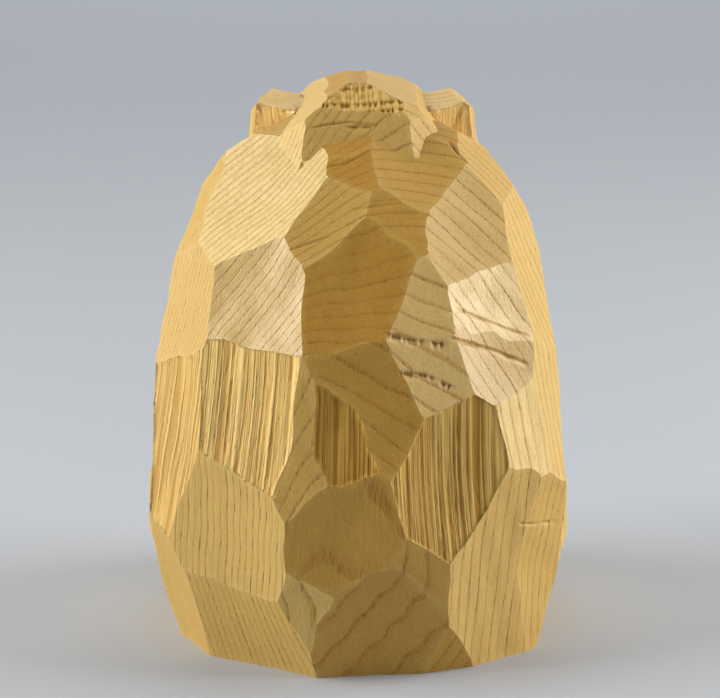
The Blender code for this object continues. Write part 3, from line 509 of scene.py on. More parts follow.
def build_strokes():
    ids = fit_back()
    for row, (z, count, arc) in enumerate(BELLY_ROWS):
        for k in range(count):
            share = (k + 0.5) / count * 2 - 1 + 0.05 * math.sin(5.0 * k + 2.0 * row)
            p = torso_round(math.radians(arc) * share, z + 3.0 * math.sin(2.6 * k + row))
            n = torso_normal(p[None])[0]
            ids.append(CUTS.add(p - n * (0.3 + 0.3 * math.sin(3.1 * k + row)), n, (0.010, 0.003),
                                torn=0.12 * (math.sin(9.1 * k + 4 * row) > 0.6),
                                sheen=0.35 + 0.35 * math.sin(4.7 * k + row)))
    ids.append(CUTS.add((0, 0, 105.4), (0, 0, 1)))
    ids.append(CUTS.add((0, 0, 0), (0, 0, -1), name="base"))
    ADD.append((ids, np.array([0, 7.0, 50.0]), 90.0))

    def lump(middle, half, degrees, rows, around, extra, name, hollow=0.022):
        rot = turn(degrees) if not isinstance(degrees, np.ndarray) else degrees
        middle, half = np.array(middle), np.array(half)
        ids = []
        for r in range(rows):
            lat = math.radians(-90 + 180 * (r + 0.5) / rows)
            count = max(3, round(around * math.cos(lat)))
            for k in range(count):
                wobble = 0.16 * math.sin(7.3 * r + 4.1 * k)
                lon = 2 * math.pi * (k + 0.5 * (r % 2) + wobble) / count
                la = lat + 0.10 * math.sin(3.7 * k + 1.9 * r)
                d = np.array([math.cos(la) * math.sin(lon), -math.cos(la) * math.cos(lon), math.sin(la)])
                facing = unit(d / half)
                sink = 0.25 + 0.25 * math.sin(5.1 * k + 2.3 * r)
                ids.append(CUTS.add(middle + rot @ (half * d - facing * sink), rot @ facing,
                                    (hollow, hollow * 0.4),
                                    torn=0.5 * (math.sin(12.7 * k + 5.3 * r + len(CUTS.c)) > 0.86),
                                    sheen=0.35 + 0.35 * math.sin(4.1 * k + 2 * r), name=name))
        for p, f, torn, sheen, *tone in extra:
            ids.append(CUTS.add(p, f, (0.006, 0.003), torn=torn, sheen=sheen, name=name,
                                tone=tone[0] if tone else 0.0))
        ids.append(CUTS.add((0, 0, 0), (0, 0, -1), name="base"))
        ADD.append((ids, middle, float(half.max()) * 1.25 + 2))

    shared = {"haunch_left": ("base_left", "base_edge_left")}
    for name, (middle, half, degrees, rows, around) in LUMPS.items():
        lump(middle, half, degrees, rows, around, EXTRA_CUTS.get(name, []), name,
             0.012 if "haunch" in name or name == "head" else 0.024)
        ADD[-1][0].extend(CUTS.name.index(k) for k in shared.get(name, ()))
    for name, (start, end, thick, rows, around) in LIMBS.items():
        start, end = np.array(start), np.array(end)
        axis = Vector(end - start)
        rot = np.array(axis.to_track_quat("Z", "Y").to_matrix())
        lump((start + end) / 2, (thick, thick, axis.length / 2 + 0.8 * thick), rot, rows, around, [],
             name, 0.02)
    for name, (middle, half, degrees) in EARS.items():
        rot, middle, half = turn(degrees), np.array(middle), np.array(half)
        ids = []
        for axis in range(3):
            for side in (-1, 1):
                d = np.zeros(3)
                d[axis] = side
                # painted light: the ear's back face is painted much lighter, its other faces a little lighter
                ids.append(CUTS.add(middle + rot @ (d * half[axis]), rot @ d, (0.03, 0.01),
                                    torn=0.35 if (axis == 1 and side == 1) else 0.2,
                                    sheen=0.2, name=name,
                                    tone=1.0 if (axis == 1 and side == 1) else 0.2))
        for sx in (-1, 1):
            for sz in (-1, 1):
                ids.append(CUTS.add(middle + rot @ np.array([sx * (half[0] - EAR_PARING / 2), 0,
                                                             sz * (half[2] - EAR_PARING / 2)]),
                                    rot @ unit([sx, 0, sz]), (0.02, 0.01), name=name))
            for sy in (-1, 1):
                paring = EAR_PARING if sy < 0 else 0.5 * EAR_PARING
                ids.append(CUTS.add(middle + rot @ np.array([sx * (half[0] - paring / 2),
                                                             sy * (half[1] - paring / 2), 0]),
                                    rot @ unit([sx, sy, 0]), (0.02, 0.01), name=name))
        ADD.append((ids, middle, 12.0))
        dish = middle + rot @ np.array([0, -half[1] - 0.6, 0.8])
        ids = []
        for r in range(3):
            lat = math.radians(-90 + 180 * (r + 0.5) / 3)
            count = max(3, round(6 * math.cos(lat)))
            for k in range(count):
                lon = 2 * math.pi * (k + 0.5 * (r % 2)) / count
                d = np.array([math.cos(lat) * math.sin(lon), -math.cos(lat) * math.cos(lon), math.sin(lat)])
                ids.append(CUTS.add(dish + rot @ (np.array(EAR_DISH) * d), rot @ unit(d / np.array(EAR_DISH)),
                                    torn=0.3, sheen=0.0, name="dish"))
        CUT_AWAY.append((ids, dish, 7.0))

    gape = math.degrees(math.atan2(MOUTH_GAPE / 2, 12.0))
    ids = [CUTS.add((0, MOUTH_TIP_Y, MOUTH_Z), turn((side * gape, 0, 0)) @ np.array([0, 0, -side]),
                    sheen=0.0, name="mouth") for side in (-1, 1)]
    for side in (-1, 1):
        ids.append(CUTS.add((side * 14.0, 0, 0), (side, 0, 0), name="mouth"))
    CUT_AWAY.append((ids, np.array([0, MOUTH_TIP_Y - 8, MOUTH_Z]), 16.0))
    for x, y, z, length, width, lean in TOE_CUTS + FINGER_CUTS:
        rot, middle, half = turn((lean, 0, 0)), np.array([x, y, z]), np.array([width, 3.0, length / 2])
        slope = unit([half[1], half[0], 0])
        ids = [CUTS.add(middle + rot @ np.array([0, half[1], 0]),
                        rot @ np.array([side * slope[0], slope[1], 0]), sheen=0.0, name="claw")
               for side in (-1, 1)]
        ids += [CUTS.add(middle + rot @ (np.array([0, 0, sz]) * half), rot @ np.array([0, 0, sz]), name="claw")
                for sz in (-1, 1)]
        CUT_AWAY.append((ids, middle, 6.5))
    for side in (1, -1):
        middle, half = np.array(LUMPS["head"][0]), np.array(LUMPS["head"][1])
        x, z = side * EYE_X, EYE_Z
        f = 1 - (x / half[0]) ** 2 - ((z - middle[2]) / half[2]) ** 2
        skin = np.array([x, middle[1] - half[1] * math.sqrt(f), z])
        out = unit((skin - middle) / half ** 2)
        core = skin - out * BEAD_SUNK
        back = core - out * (BEAD_THICKNESS / 2 + CLEARANCE)
        one = unit(np.cross(out, [0, 0, 1.0]))
        two = np.cross(out, one)
        for radius, low in ((BEAD_RADIUS + CLEARANCE, back),
                            (SHANK_RADIUS + CLEARANCE, back - out * (SHANK_LENGTH + CLEARANCE))):
            ids = [CUTS.add(low, -out, sheen=0.0, name="socket")]
            for k in range(16):
                w = one * math.cos(k * math.pi / 8) + two * math.sin(k * math.pi / 8)
                ids.append(CUTS.add(core + w * radius, w, sheen=0.0, name="socket"))
            CUT_AWAY.append((ids, core, 12.0))
    CUTS.freeze()
    for i, nm in enumerate(CUTS.name):
        if nm in ("base", "socket", "mouth", "claw"):
            CUTS.am[i] = 0.0
        elif nm in LUMPS or nm in LIMBS:
            CUTS.am[i] *= 0.6


# --------------------------------------------------------------- the solid
def solid(p):
    """Signed height of points above the carving's surface, and the stroke that made it there."""
    best = np.full(len(p), 1e3)
    who = np.zeros(len(p), int)
    gap = np.full(len(p), 9.0)
    for ids, middle, radius in ADD:
        far = np.linalg.norm(p - middle, axis=1)
        near = np.nonzero(far < radius + 6)[0]
        if not len(near):
            continue
        q = p[near]
        top = np.full(len(q), -1e3)
        second = np.full(len(q), -1e3)
        arg = np.zeros(len(q), int)
        for i in ids:
            g = CUTS.value(q, i)
            better = g > top
            second = np.where(better, top, np.maximum(second, g))
            arg[better] = i
            top = np.where(better, g, top)
        win = top < best[near]
        sel = near[win]
        best[sel], who[sel], gap[sel] = top[win], arg[win], (top - second)[win]
    for ids, middle, radius in CUT_AWAY:
        near = np.nonzero(np.linalg.norm(p - middle, axis=1) < radius)[0]
        if not len(near):
            continue
        q = p[near]
        top = np.full(len(q), -1e3)
        arg = np.zeros(len(q), int)
        for i in ids:
            g = CUTS.value(q, i)
            better = g > top
            arg[better] = i
            top = np.where(better, g, top)
        win = -top > best[near]
        sel = near[win]
        best[sel], who[sel], gap[sel] = -top[win], -arg[win] - 1, 3.0
    return best, who, gap


def surface_normal(p, who):
    inner = who < 0
    i = np.where(inner, -who - 1, who)
    n = CUTS.normal(p, i)
    return np.where(inner[:, None], -n, n)


def contour(h):
    """Dual contouring: one vertex in each cell that the surface passes, set on its ridges."""
    lo = np.array([-46.0, -48.5, -1.5 * h + 0.37 * h])
    size = np.array([92.0, 96.0, 117.0])
    dims = (size / h).astype(int) + 2
    coarse = 3
    cd = dims // coarse + 2
    ax = [lo[k] + np.arange(cd[k]) * h * coarse for k in range(3)]
    cg = np.stack(np.meshgrid(*ax, indexing="ij"), -1).reshape(-1, 3)
    cv, _, _ = solid(cg)
    cv = cv.reshape(cd)
    near = np.abs(cv) < h * coarse * 1.25
    idx = [np.minimum((np.arange(dims[k]) + coarse // 2) // coarse, cd[k] - 1) for k in range(3)]
    full = cv[np.ix_(*idx)].copy()
    mask = near[np.ix_(*idx)]
    where = np.argwhere(mask)
    vals = np.concatenate([solid(lo + part * h)[0] for part in np.array_split(where, max(1, len(where) // 200000))])
    full[mask] = vals
    inside = full < 0
    inside[0], inside[-1], inside[:, 0], inside[:, -1], inside[:, :, 0], inside[:, :, -1] = (False,) * 6
    n_cells = int(np.prod(dims))
    rows_p, rows_n, rows_w, cells, quads = [], [], [], [], []
    strides = np.array([dims[1] * dims[2], dims[2], 1])
    for k in range(3):
        sl0 = [slice(None)] * 3
        sl1 = [slice(None)] * 3
        sl0[k], sl1[k] = slice(0, -1), slice(1, None)
        a_in, b_in = inside[tuple(sl0)], inside[tuple(sl1)]
        e = np.argwhere(a_in != b_in)
        va = full[tuple(e.T)]
        e2 = e.copy()
        e2[:, k] += 1
        vb = full[tuple(e2.T)]
        pa, pb = lo + e * h, lo + e2 * h
        ta, tb = np.zeros(len(e)), np.ones(len(e))
        t = np.clip(va / np.where(va == vb, 1, va - vb), 0.02, 0.98)
        for _ in range(2):
            p = pa + (pb - pa) * t[:, None]
            v, who, _ = solid(p)
            same = (v < 0) == (va < 0)
            ta, va = np.where(same, t, ta), np.where(same, v, va)
            tb, vb = np.where(same, tb, t), np.where(same, vb, v)
            w = np.clip(va / np.where(va == vb, 1, va - vb), 0.02, 0.98)
            t = ta + (tb - ta) * w
        p = pa + (pb - pa) * t[:, None]
        _, who, _ = solid(p)
        nrm = surface_normal(p, who)
        u, v2 = (k + 1) % 3, (k + 2) % 3
        four = []
        for du, dv in ((-1, -1), (0, -1), (0, 0), (-1, 0)):
            c = e.copy()
            c[:, u] += du
            c[:, v2] += dv
            four.append(c @ strides)
        four = np.stack(four, 1)
        flip = ~a_in[tuple(e.T)]
        four = np.where(flip[:, None], four[:, ::-1], four)
        quads.append(four)
        for j in range(4):
            cells.append(four[:, j])
            rows_p.append(p)
            rows_n.append(nrm)
            rows_w.append(who)
    quads = np.concatenate(quads)
    cells, P, N = np.concatenate(cells), np.concatenate(rows_p), np.concatenate(rows_n)
    ids, inv = np.unique(cells, return_inverse=True)
    m = len(ids)
    cnt = np.bincount(inv, minlength=m)
    mass = np.stack([np.bincount(inv, P[:, k], m) for k in range(3)], 1) / cnt[:, None]
    rel = (N * (P - mass[inv])).sum(1)
    A = np.zeros((m, 3, 3))
    for i in range(3):
        for j in range(i, 3):
            A[:, i, j] = A[:, j, i] = np.bincount(inv, N[:, i] * N[:, j], m)
    rhs = np.stack([np.bincount(inv, N[:, k] * rel, m) for k in range(3)], 1)
    w, V = np.linalg.eigh(A)
    good = w > 0.06 * w[:, -1:]
    iw = np.where(good, 1 / np.where(good, w, 1), 0)
    x = np.einsum("mij,mj,mkj,mk->mi", V, iw, V, rhs)
    length = np.linalg.norm(x, axis=1)
    x *= np.minimum(1, 0.9 * h / np.maximum(length, 1e-9))[:, None]
    verts = mass + x
    W = np.concatenate(rows_w)
    low = np.full(m, 10 ** 6)
    high = np.full(m, -10 ** 6)
    np.minimum.at(low, inv, W)
    np.maximum.at(high, inv, W)
    third = np.bincount(inv, (W != low[inv]) & (W != high[inv]), m) > 0
    pair = np.nonzero((low != high) & ~third)[0]
    verts[pair] = onto_ridge(verts[pair], low[pair], high[pair], mass[pair], h)
    faces = np.searchsorted(ids, quads)
    return verts, faces


def onto_ridge(p, one, two, mass, h):
    """Moves each point to the line where its two strokes meet, if that is within its cell."""
    q = p.copy()
    for _ in range(3):
        a, b = signed(q, one), signed(q, two)
        n1, n2 = surface_normal(q, one), surface_normal(q, two)
        c = (n1 * n2).sum(1)
        det = np.maximum(1 - c * c, 1e-6)
        k1, k2 = (-a + c * b) / det, (-b + c * a) / det
        step = n1 * k1[:, None] + n2 * k2[:, None]
        size = np.linalg.norm(step, axis=1)
        q = q + step * np.minimum(1, h / np.maximum(size, 1e-9))[:, None]
    ok = (np.abs(q - mass).max(1) < 0.85 * h) & (np.abs(signed(q, one)) + np.abs(signed(q, two)) < 0.02)
    return np.where(ok[:, None], q, p)


def signed(p, who):
    inner = who < 0
    v = CUTS.value(p, np.where(inner, -who - 1, who))
    return np.where(inner, -v, v)


# --------------------------------------------------------------- smooth noise for the torn grain
def lattice(ix, iy, iz, seed):
    n = (ix * 374761393 + iy * 668265263 + iz * 2147483647 + seed * 974634777) & 0xFFFFFFFF
    n = ((n ^ (n >> 13)) * 1274126177) & 0xFFFFFFFF
    n = ((n ^ (n >> 15)) * 2246822519) & 0xFFFFFFFF
    return ((n ^ (n >> 16)) & 0xFFFF) / 65535.0


def noise3(x, y, z, seed=0):
    ix, iy, iz = (np.floor(v).astype(np.int64) for v in (x, y, z))
    fx, fy, fz = x - ix, y - iy, z - iz
    fx, fy, fz = (f * f * (3 - 2 * f) for f in (fx, fy, fz))
    out = 0
    for dx in (0, 1):
        for dy in (0, 1):
            for dz in (0, 1):
                w = (fx if dx else 1 - fx) * (fy if dy else 1 - fy) * (fz if dz else 1 - fz)
                out = out + w * lattice(ix + dx, iy + dy, iz + dz, seed)
    return out


PITH = np.array([-9.0, 98.0])       # the middle of the tree, behind the bear
RING_WIDE, RING_NARROW = 2.15, 1.25     # a year's growth on the bear's right and on its left


def torn_depth(p, who):
    """Depth of the grooves where the fibres pulled out instead of being cut, along the grain."""
    i = np.maximum(who, 0)
    d = p - CUTS.c[i]
    a, b = (d * CUTS.s[i]).sum(1), (d * CUTS.t[i]).sum(1)
    k = i * 3.7
    a = a + (noise3(b / 40, a / 12, k, 2) - 0.5) * 1.2
    main = 1 - np.abs(2 * noise3(a / 0.80, b / 45, k, 7) - 1)
    fine = noise3(a / 0.55, b / 20, k, 9)
    wide = np.clip((noise3(a / 3.1, b / 30, k, 12) - 0.50) / 0.3, 0, 1)
    along = 0.60 * main ** 1.3 + 0.38 * fine + 0.14 * wide
    # end grain facing up: rows of short pits, step after step
    row = -b / 2.2 + 0.55 * noise3(a / 6, b * 0, k, 3) + 0.04 * a
    step = row - np.floor(row)
    length = 0.35 + 0.45 * noise3(a / 0.7, np.floor(row) * 7.3, k, 15)
    slot = np.clip((noise3(a / 0.40, np.floor(row) * 5.1, k, 21) - 0.25) / 0.35, 0.15, 1)
    pits = 1.35 * slot * np.clip((length - step) / 0.18, 0, 1) * np.clip(step / 0.05, 0, 1)
    pits = pits * np.clip((noise3(a / 8, np.floor(row) * 3.3, k, 4) - 0.10) / 0.25, 0.1, 1)
    return np.where(CUTS.n[i][:, 2] > 0.6, pits, np.clip(along, 0, 1.2))


def tear_depth(p, reach=1.0):
    """Depth and nearness of the torn steps and cracks."""
    x, y = to_drawing(p)
    seen = (surface_side(p) > 0)
    out = np.zeros(len(p))
    close = np.zeros(len(p), bool)
    for course, below, depth, pits in TEARS:
        if reach > 1 and depth < 0.3:
            continue
        best = np.full(len(p), 99.0)
        along = np.zeros(len(p))
        run = 0.0
        for (x1, y1), (x2, y2) in zip(course, course[1:]):
            ux, uy = x2 - x1, y2 - y1
            length = math.hypot(ux, uy)
            t = ((x - x1) * ux + (y - y1) * uy) / length ** 2
            tc = np.clip(t, 0, 1)
            dist = np.hypot(x - x1 - tc * ux, y - y1 - tc * uy)
            side = np.sign((y - y1) * ux - (x - x1) * uy)
            better = dist < np.abs(best)
            best = np.where(better, dist * np.where(side == 0, 1, side), best)
            along = np.where(better, run + tc * length, along)
            run += length
        lower = np.clip(best, 0, None) / below
        upper = np.clip(-best, 0, None) / 1.3
        shape = np.where(best >= 0, np.clip(1 - lower, 0, 1) ** 1.3, np.clip(1 - upper, 0, 1))
        fade = np.clip(np.minimum(along, run - along) / 5.0, 0.0, 1)
        if pits:
            beat = noise3(along / pits * 1.7, along * 0 + depth, along * 0, 31)
            shape = shape * np.clip((beat - 0.25) / 0.35, 0.12, 1)
        else:
            shape = shape * (0.55 + 0.45 * noise3(along / 9, along * 0, along * 0, 33))
        out = np.maximum(out, depth * shape * fade)
        close |= np.abs(best) < below + 2.5
    return out * seen, close & seen


def surface_side(p):
    """Positive on the half of the carving that the drawing shows."""
    return torso_normal(p) @ EYE_BACK


def face_strokes(co, polys):
    """The stroke each face belongs to."""
    mid = np.array([co[list(f)].mean(0) for f in polys]) if not isinstance(polys, np.ndarray) \
        else co[polys].mean(1)
    return solid(mid)[1], mid


def is_torn(who):
    return (who >= 0) & (CUTS.torn[np.maximum(who, 0)] > 0.3)


def refine(verts, faces, level):
    """A mesh of the quads, with those on torn strokes split `level` times."""
    bm = bmesh.new()
    for v in verts:
        bm.verts.new(v)
    bm.verts.ensure_lookup_table()
    who, _ = face_strokes(verts, faces)
    torn = is_torn(who) | tear_depth(verts[faces].mean(1))[1]
    fine = np.where(torn, np.where(verts[faces].mean(1)[:, 1] > 2.0, 2, 1), 0)
    lay = bm.faces.layers.int.new("split")
    for f, t in zip(faces, fine):
        f = list(dict.fromkeys(int(i) for i in f))
        if len(f) >= 3:
            try:
                bm.faces.new([bm.verts[i] for i in f])[lay] = int(t)
            except ValueError:
                pass
    for step in range(level):
        edges = set()
        for f in bm.faces:
            if f[lay] > step and len(f.verts) == 4:
                edges.update(f.edges)
        bmesh.ops.subdivide_edges(bm, edges=list(edges), cuts=1, use_grid_fill=True)
    bm.faces.layers.int.remove(lay)
    return bm


def carve():
    build_strokes()
    h = 1.25
    verts, faces = contour(h)
    bm = refine(verts, faces, 2)
    bmesh.ops.delete(bm, geom=[v for v in bm.verts if not v.link_faces], context="VERTS")
    bmesh.ops.recalc_face_normals(bm, faces=bm.faces[:])
    bm.verts.index_update()
    bm.verts.ensure_lookup_table()
    co = np.array([v.co[:] for v in bm.verts])
    polys = [[v.index for v in f.verts] for f in bm.faces]
    fwho, mid = face_strokes(co, polys)
    # vertices: which stroke, how far from its edge
    val, who, gap = solid(co)
    torn = np.where(is_torn(who), CUTS.torn[np.maximum(who, 0)], 0.0)
    on = (gap > 0.06) & (np.abs(val) < 0.5) & (who >= 0)
    nrm = surface_normal(co, who)
    co = co - nrm * np.where(on, val, 0)[:, None]
    depth = torn_depth(co, who) * (torn > 0)
    fade = np.clip(gap / 0.22, 0.0, 1)
    tear, _ = tear_depth(co)
    co = co - nrm * (TORN_DEPTH * torn * depth * fade * on + tear * (who >= 0))[:, None]
    co[:, 2] = np.maximum(co[:, 2], 0.0)
    for v, c in zip(bm.verts, co):
        v.co = c
    act = np.maximum(fwho, 0)
    rng = np.random.default_rng(5)
    # per face: the stroke's painted light and shade plus a small random difference of its own; the cut-away hollows
    # (mouth, claw cuts, ear dishes, eye sockets) get painted shade
    tone = np.where(fwho >= 0, CUTS.tone[act] + rng.uniform(-0.12, 0.12, len(CUTS.c))[act], -0.5)
    face_att = dict(tone=tone, torn=np.where(is_torn(fwho), CUTS.torn[act], 0.0),
                    sheen=np.where(fwho >= 0, CUTS.sheen[act], 0.0), turn=rng.uniform(0, 1, len(CUTS.c))[act])
    # groove and tear give depths that the wood darkens as painted shade; ridge gives nearness to a ridge, painted
    # paler as a highlight with some edge wear
    i = np.maximum(who, 0)
    d = co - CUTS.c[i]
    point_att = dict(across=(d * CUTS.s[i]).sum(1) + i * 3.7, down=(d * CUTS.t[i]).sum(1),
                     groove=np.where(torn > 0, depth * (0.45 + 0.55 * fade), 0.0),
                     ridge=np.exp(-np.clip(gap, 0, 9) / 0.05),
                     tear=np.clip(tear / 0.7, 0, 1))
    # ridges: edges between faces of two strokes
    sharp = []
    bm.faces.index_update()
    bm.edges.index_update()
    pairs = [(e.index, e.link_faces[0].index, e.link_faces[1].index) for e in bm.edges if len(e.link_faces) == 2]
    ei, fa, fb = np.array(pairs).T
    diff = fwho[fa] != fwho[fb]
    ei, fa, fb = ei[diff], fa[diff], fb[diff]
    where = (mid[fa] + mid[fb]) / 2
    cosine = (surface_normal(where, fwho[fa]) * surface_normal(where, fwho[fb])).sum(1)
    sharp = ei[cosine < math.cos(math.radians(1.5))]
    return bm, co, face_att, point_att, sharp


def make_body():
    bm, co, face_att, point_att, sharp = carve()
    for v, c in zip(bm.verts, co):
        v.co = Vector((c[0], c[1] + SHIFT_Y, c[2])) * MM
    mesh = bpy.data.meshes.new("hewn_bear")
    bm.to_mesh(mesh)
    bm.free()
    for domain, table in (("FACE", face_att), ("POINT", point_att)):
        for name, values in table.items():
            a = mesh.attributes.new(name, "FLOAT", domain)
            a.data.foreach_set("value", np.asarray(values, np.float32))
    mesh.shade_smooth()
    flag = np.zeros(len(mesh.edges), bool)
    flag[sharp] = True
    a = mesh.attributes.new("sharp_edge", "BOOLEAN", "EDGE") if "sharp_edge" not in mesh.attributes \
        else mesh.attributes["sharp_edge"]
    a.data.foreach_set("value", flag)
    mesh.update()
    ob = bpy.data.objects.new("hewn_bear", mesh)
    bpy.context.collection.objects.link(ob)
    print("hewn_bear: %d vertices, %d faces, %d triangles" % (len(mesh.vertices), len(mesh.polygons),
          sum(len(f.vertices) - 2 for f in mesh.polygons)))
    return ob


# =============================================================== materials
class Nodes:
    """Short-hand for building node trees."""

    def __init__(self, name):
        self.mat = bpy.data.materials.new(name)
        self.mat.use_nodes = True
        self.tree = self.mat.node_tree
        self.tree.nodes.clear()
        self.out = self.tree.nodes.new("ShaderNodeOutputMaterial")
        self.bsdf = self.tree.nodes.new("ShaderNodeBsdfPrincipled")
        self.link(self.bsdf.outputs[0], self.out.inputs[0])

    def link(self, a, b):
        self.tree.links.new(a, b)

    def put(self, socket, v):
        if isinstance(v, bpy.types.NodeSocket):
            self.link(v, socket)
        elif v is not None:
            socket.default_value = v

    def math(self, op, a, b=None, c=None, clamp=False):
        n = self.tree.nodes.new("ShaderNodeMath")
        n.operation, n.use_clamp = op, clamp
        for s, v in zip(n.inputs, (a, b, c)):
            self.put(s, v)
        return n.outputs[0]

    def attr(self, name):
        n = self.tree.nodes.new("ShaderNodeAttribute")
        n.attribute_name = name
        return n.outputs["Fac"]

    def position(self):
        return self.tree.nodes.new("ShaderNodeTexCoord").outputs["Object"]

    def split(self, v):
        n = self.tree.nodes.new("ShaderNodeSeparateXYZ")
        self.link(v, n.inputs[0])
        return n.outputs[0], n.outputs[1], n.outputs[2]

    def join(self, x, y, z):
        n = self.tree.nodes.new("ShaderNodeCombineXYZ")
        for s, v in zip(n.inputs, (x, y, z)):
            self.put(s, v)
        return n.outputs[0]

    def noise(self, vector, scale, detail=2.0, rough=0.5, distortion=0.0):
        n = self.tree.nodes.new("ShaderNodeTexNoise")
        self.link(vector, n.inputs["Vector"])
        n.inputs["Scale"].default_value = scale
        n.inputs["Detail"].default_value = detail
        n.inputs["Roughness"].default_value = rough
        n.inputs["Distortion"].default_value = distortion
        return n.outputs["Fac"]

    def voronoi(self, vector, scale, feature="F1", random=1.0):
        n = self.tree.nodes.new("ShaderNodeTexVoronoi")
        n.feature = feature
        self.link(vector, n.inputs["Vector"])
        n.inputs["Scale"].default_value = scale
        n.inputs["Randomness"].default_value = random
        return n.outputs["Distance"]

    def ramp(self, fac, stops, interpolation="LINEAR"):
        n = self.tree.nodes.new("ShaderNodeValToRGB")
        n.color_ramp.interpolation = interpolation
        el = n.color_ramp.elements
        while len(el) > 1:
            el.remove(el[-1])
        el[0].position, el[0].color = stops[0][0], (*stops[0][1], 1)
        for pos, col in stops[1:]:
            e = el.new(pos)
            e.color = (*col, 1)
        self.link(fac, n.inputs[0])
        return n.outputs["Color"]

    def span(self, v, a, b, c=0.0, d=1.0, smooth=False):
        n = self.tree.nodes.new("ShaderNodeMapRange")
        n.interpolation_type = "SMOOTHSTEP" if smooth else "LINEAR"
        n.clamp = True
        self.put(n.inputs["Value"], v)
        for k, x in (("From Min", a), ("From Max", b), ("To Min", c), ("To Max", d)):
            n.inputs[k].default_value = x
        return n.outputs["Result"]

    def mix(self, fac, a, b, blend="MIX"):
        n = self.tree.nodes.new("ShaderNodeMix")
        n.data_type, n.blend_type = "RGBA", blend
        n.clamp_factor = True
        self.put(n.inputs[0], fac)
        self.put(n.inputs[6], a if isinstance(a, bpy.types.NodeSocket) else (*a, 1))
        self.put(n.inputs[7], b if isinstance(b, bpy.types.NodeSocket) else (*b, 1))
        return n.outputs[2]

    def bump(self, height, strength, distance, normal=None):
        n = self.tree.nodes.new("ShaderNodeBump")
        n.inputs["Strength"].default_value = strength
        n.inputs["Distance"].default_value = distance
        self.link(height, n.inputs["Height"])
        if normal is not None:
            self.link(normal, n.inputs["Normal"])
        return n.outputs[0]


